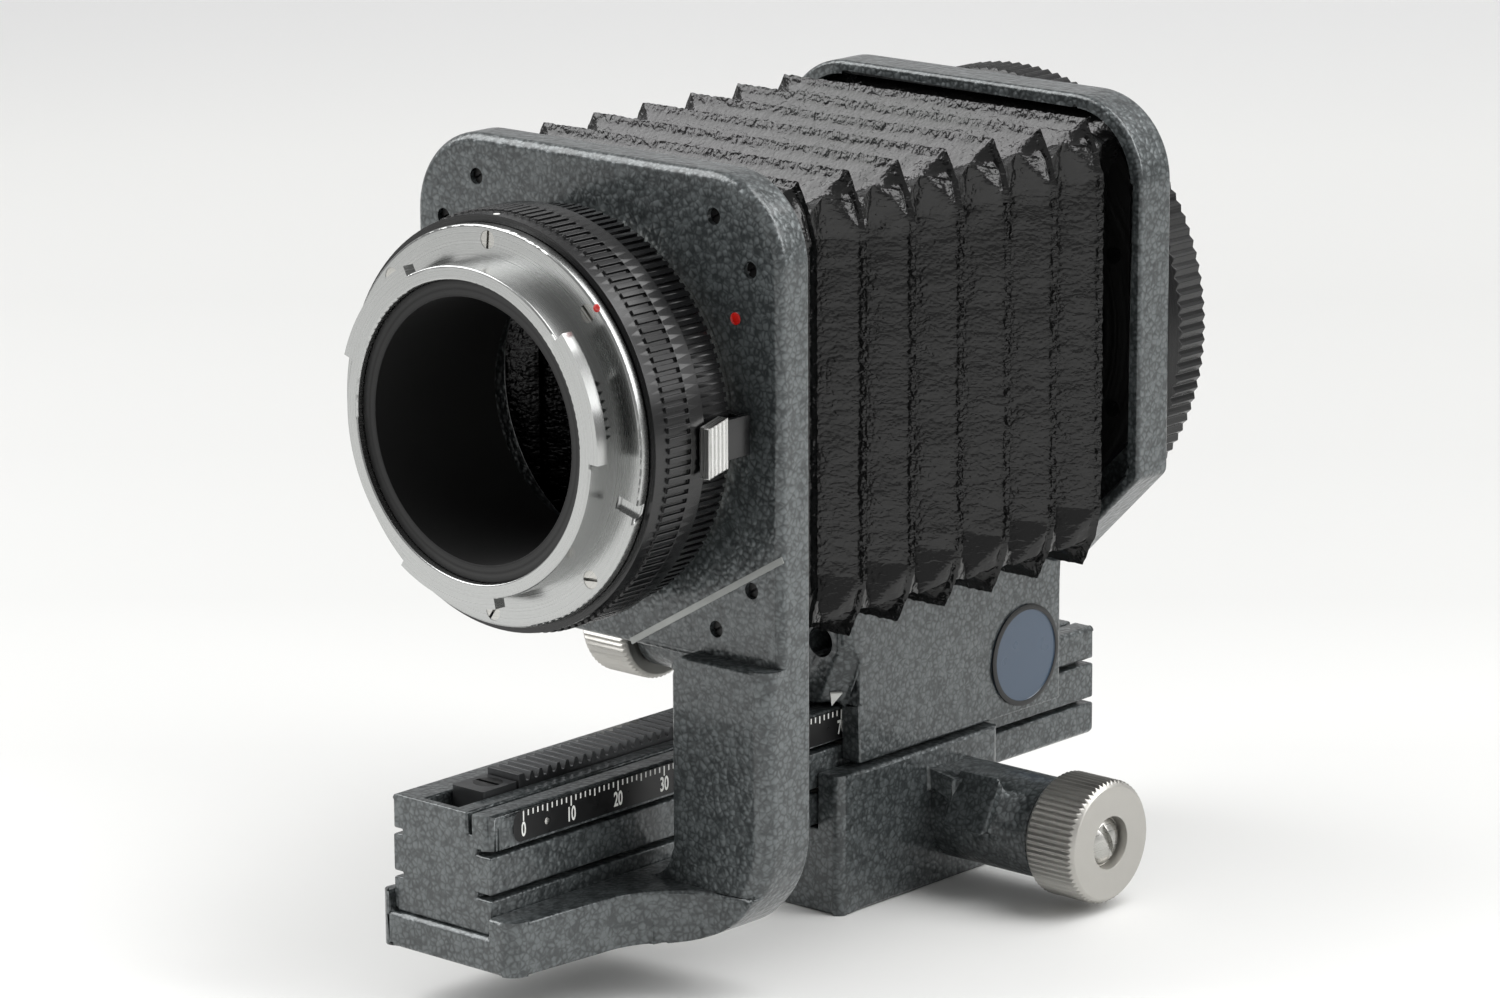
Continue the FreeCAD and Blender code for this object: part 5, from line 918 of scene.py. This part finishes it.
class BELLOWS_OT_stage(bpy.types.Operator):
    """Set the pale floor, the soft lamps and the camera"""

    bl_idname = "bellows_unit.stage"
    bl_label = "Stage"

    # The camera's place in metres, its turns in degrees, and its focal length and the row of its
    # principal point in pixels.
    PLACE = (0.57884, -0.67221, 0.28018)
    AZIMUTH = 41.71
    ELEVATION = 13.948
    ROLL = -0.278
    FOCAL_LENGTH = 5939.11
    PRINCIPAL_ROW = 499.0

    def execute(self, context):
        self.floor()
        self.world()
        self.lamp("key_softbox", -57, 41, 0.7, 0.55, 5.0)
        self.lamp("top_softbox", 132, 60, 0.8, 0.6, 5.0)
        self.lamp("side_softbox", 116, 27, 0.8, 0.45, 3.0)
        self.camera()
        context.scene.view_settings.view_transform = "Standard"
        return {"FINISHED"}

    def floor(self):
        bpy.ops.mesh.primitive_plane_add(size=3.0)
        item = bpy.context.object
        item.name = "floor"
        edit(item)
        choose(item, lambda e: all(item.data.vertices[i].co.y > 1 for i in e.vertices), "EDGE")
        bpy.ops.mesh.extrude_region_move(TRANSFORM_OT_translate={"value": (0, 0, 1.6)})
        close()
        curve = item.modifiers.new("sweep", "BEVEL")
        curve.width = 0.5
        curve.segments = 12
        pick(item)
        bpy.ops.object.modifier_apply(modifier=curve.name)
        bpy.ops.object.shade_smooth()
        # White paper, greyer where the lamps reach it best, so that it shows as one even tone.
        material, tree, shader, place = start_material("white_paper_floor", Roughness=0.6)
        depth = add(tree, "ShaderNodeVectorMath",
                    {"operation": "DOT_PRODUCT", 1: (-0.65, 0.76, 0.0)}, {0: place})
        share = add(tree, "ShaderNodeMapRange", {"From Min": -0.1, "From Max": 0.9},
                    {"Value": depth.outputs["Value"]})
        paper = add(tree, "ShaderNodeValToRGB", {}, {0: share.outputs[0]})
        tones = paper.color_ramp
        tones.elements[0].color = (0.86, 0.86, 0.85, 1)
        tones.elements[1].color = (1.0, 1.0, 1.0, 1)
        for position, tone in ((0.06, 0.8), (0.167, 0.63), (0.265, 0.575), (0.383, 0.6),
                               (0.53, 0.67), (0.71, 0.82)):
            tones.elements.new(position).color = (tone, tone, 0.985 * tone, 1)
        tree.links.new(paper.outputs["Color"], shader.inputs["Base Color"])
        item.data.materials.append(material)

    def world(self):
        world = bpy.data.worlds.new("studio")
        bpy.context.scene.world = world
        world.use_nodes = True
        back = world.node_tree.nodes["Background"]
        back.inputs["Strength"].default_value = 0.48
        back.inputs["Color"].default_value = (1, 1, 1, 1)

    def lamp(self, name, azimuth, elevation, distance, size, watts):
        a, e = math.radians(azimuth), math.radians(elevation)
        aim = Vector((0, -0.015, 0.065))
        away = Vector((math.sin(a) * math.cos(e), -math.cos(a) * math.cos(e), math.sin(e)))
        bpy.ops.object.light_add(type="AREA", location=aim + away * distance)
        item = bpy.context.object
        item.name = name
        item.rotation_euler = away.to_track_quat("Z", "Y").to_euler()
        item.data.shape = "SQUARE"
        item.data.size = size
        item.data.energy = watts

    def camera(self):
        bpy.ops.object.camera_add(location=self.PLACE)
        item = bpy.context.object
        turn = (Matrix.Rotation(math.radians(self.AZIMUTH), 4, "Z")
                @ Matrix.Rotation(math.radians(90 - self.ELEVATION), 4, "X")
                @ Matrix.Rotation(math.radians(self.ROLL), 4, "Z"))
        item.rotation_euler = turn.to_euler()
        item.data.sensor_width = SENSOR
        item.data.lens = self.FOCAL_LENGTH / IMAGE_WIDTH * SENSOR
        item.data.shift_y = -(IMAGE_HEIGHT / 2 - self.PRINCIPAL_ROW) / IMAGE_WIDTH
        bpy.context.scene.camera = item


# ---------------------------------------------------------------- panel and main

OPERATORS = (
    BELLOWS_OT_stage, BELLOWS_OT_castings, BELLOWS_OT_bellows, BELLOWS_OT_camera_mount,
    BELLOWS_OT_lens_mount, BELLOWS_OT_knobs, BELLOWS_OT_rack, BELLOWS_OT_scale,
    BELLOWS_OT_marks, BELLOWS_OT_small_parts,
)


class BELLOWS_PT_panel(bpy.types.Panel):
    bl_label = "Macro bellows unit"
    bl_idname = "BELLOWS_PT_panel"
    bl_space_type = "VIEW_3D"
    bl_region_type = "UI"
    bl_category = "Bellows"

    def draw(self, context):
        for group in (context.scene.bellows_sizes, context.scene.bellows_colours):
            for name in group.__annotations__:
                self.layout.prop(group, name)
        for operator in OPERATORS:
            self.layout.operator(operator.bl_idname)


CLASSES = (BellowsSizes, BellowsColours) + OPERATORS + (BELLOWS_PT_panel,)


def register():
    for item in CLASSES:
        bpy.utils.register_class(item)
    bpy.types.Scene.bellows_sizes = bpy.props.PointerProperty(type=BellowsSizes)
    bpy.types.Scene.bellows_colours = bpy.props.PointerProperty(type=BellowsColours)


def unregister():
    del bpy.types.Scene.bellows_colours
    del bpy.types.Scene.bellows_sizes
    for item in reversed(CLASSES):
        bpy.utils.unregister_class(item)


def main():
    register()
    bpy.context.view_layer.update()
    FINISH.update(make_materials())
    for operator in OPERATORS:
        group, name = operator.bl_idname.split(".")
        getattr(getattr(bpy.ops, group), name)()


if __name__ == "__main__":
    main()
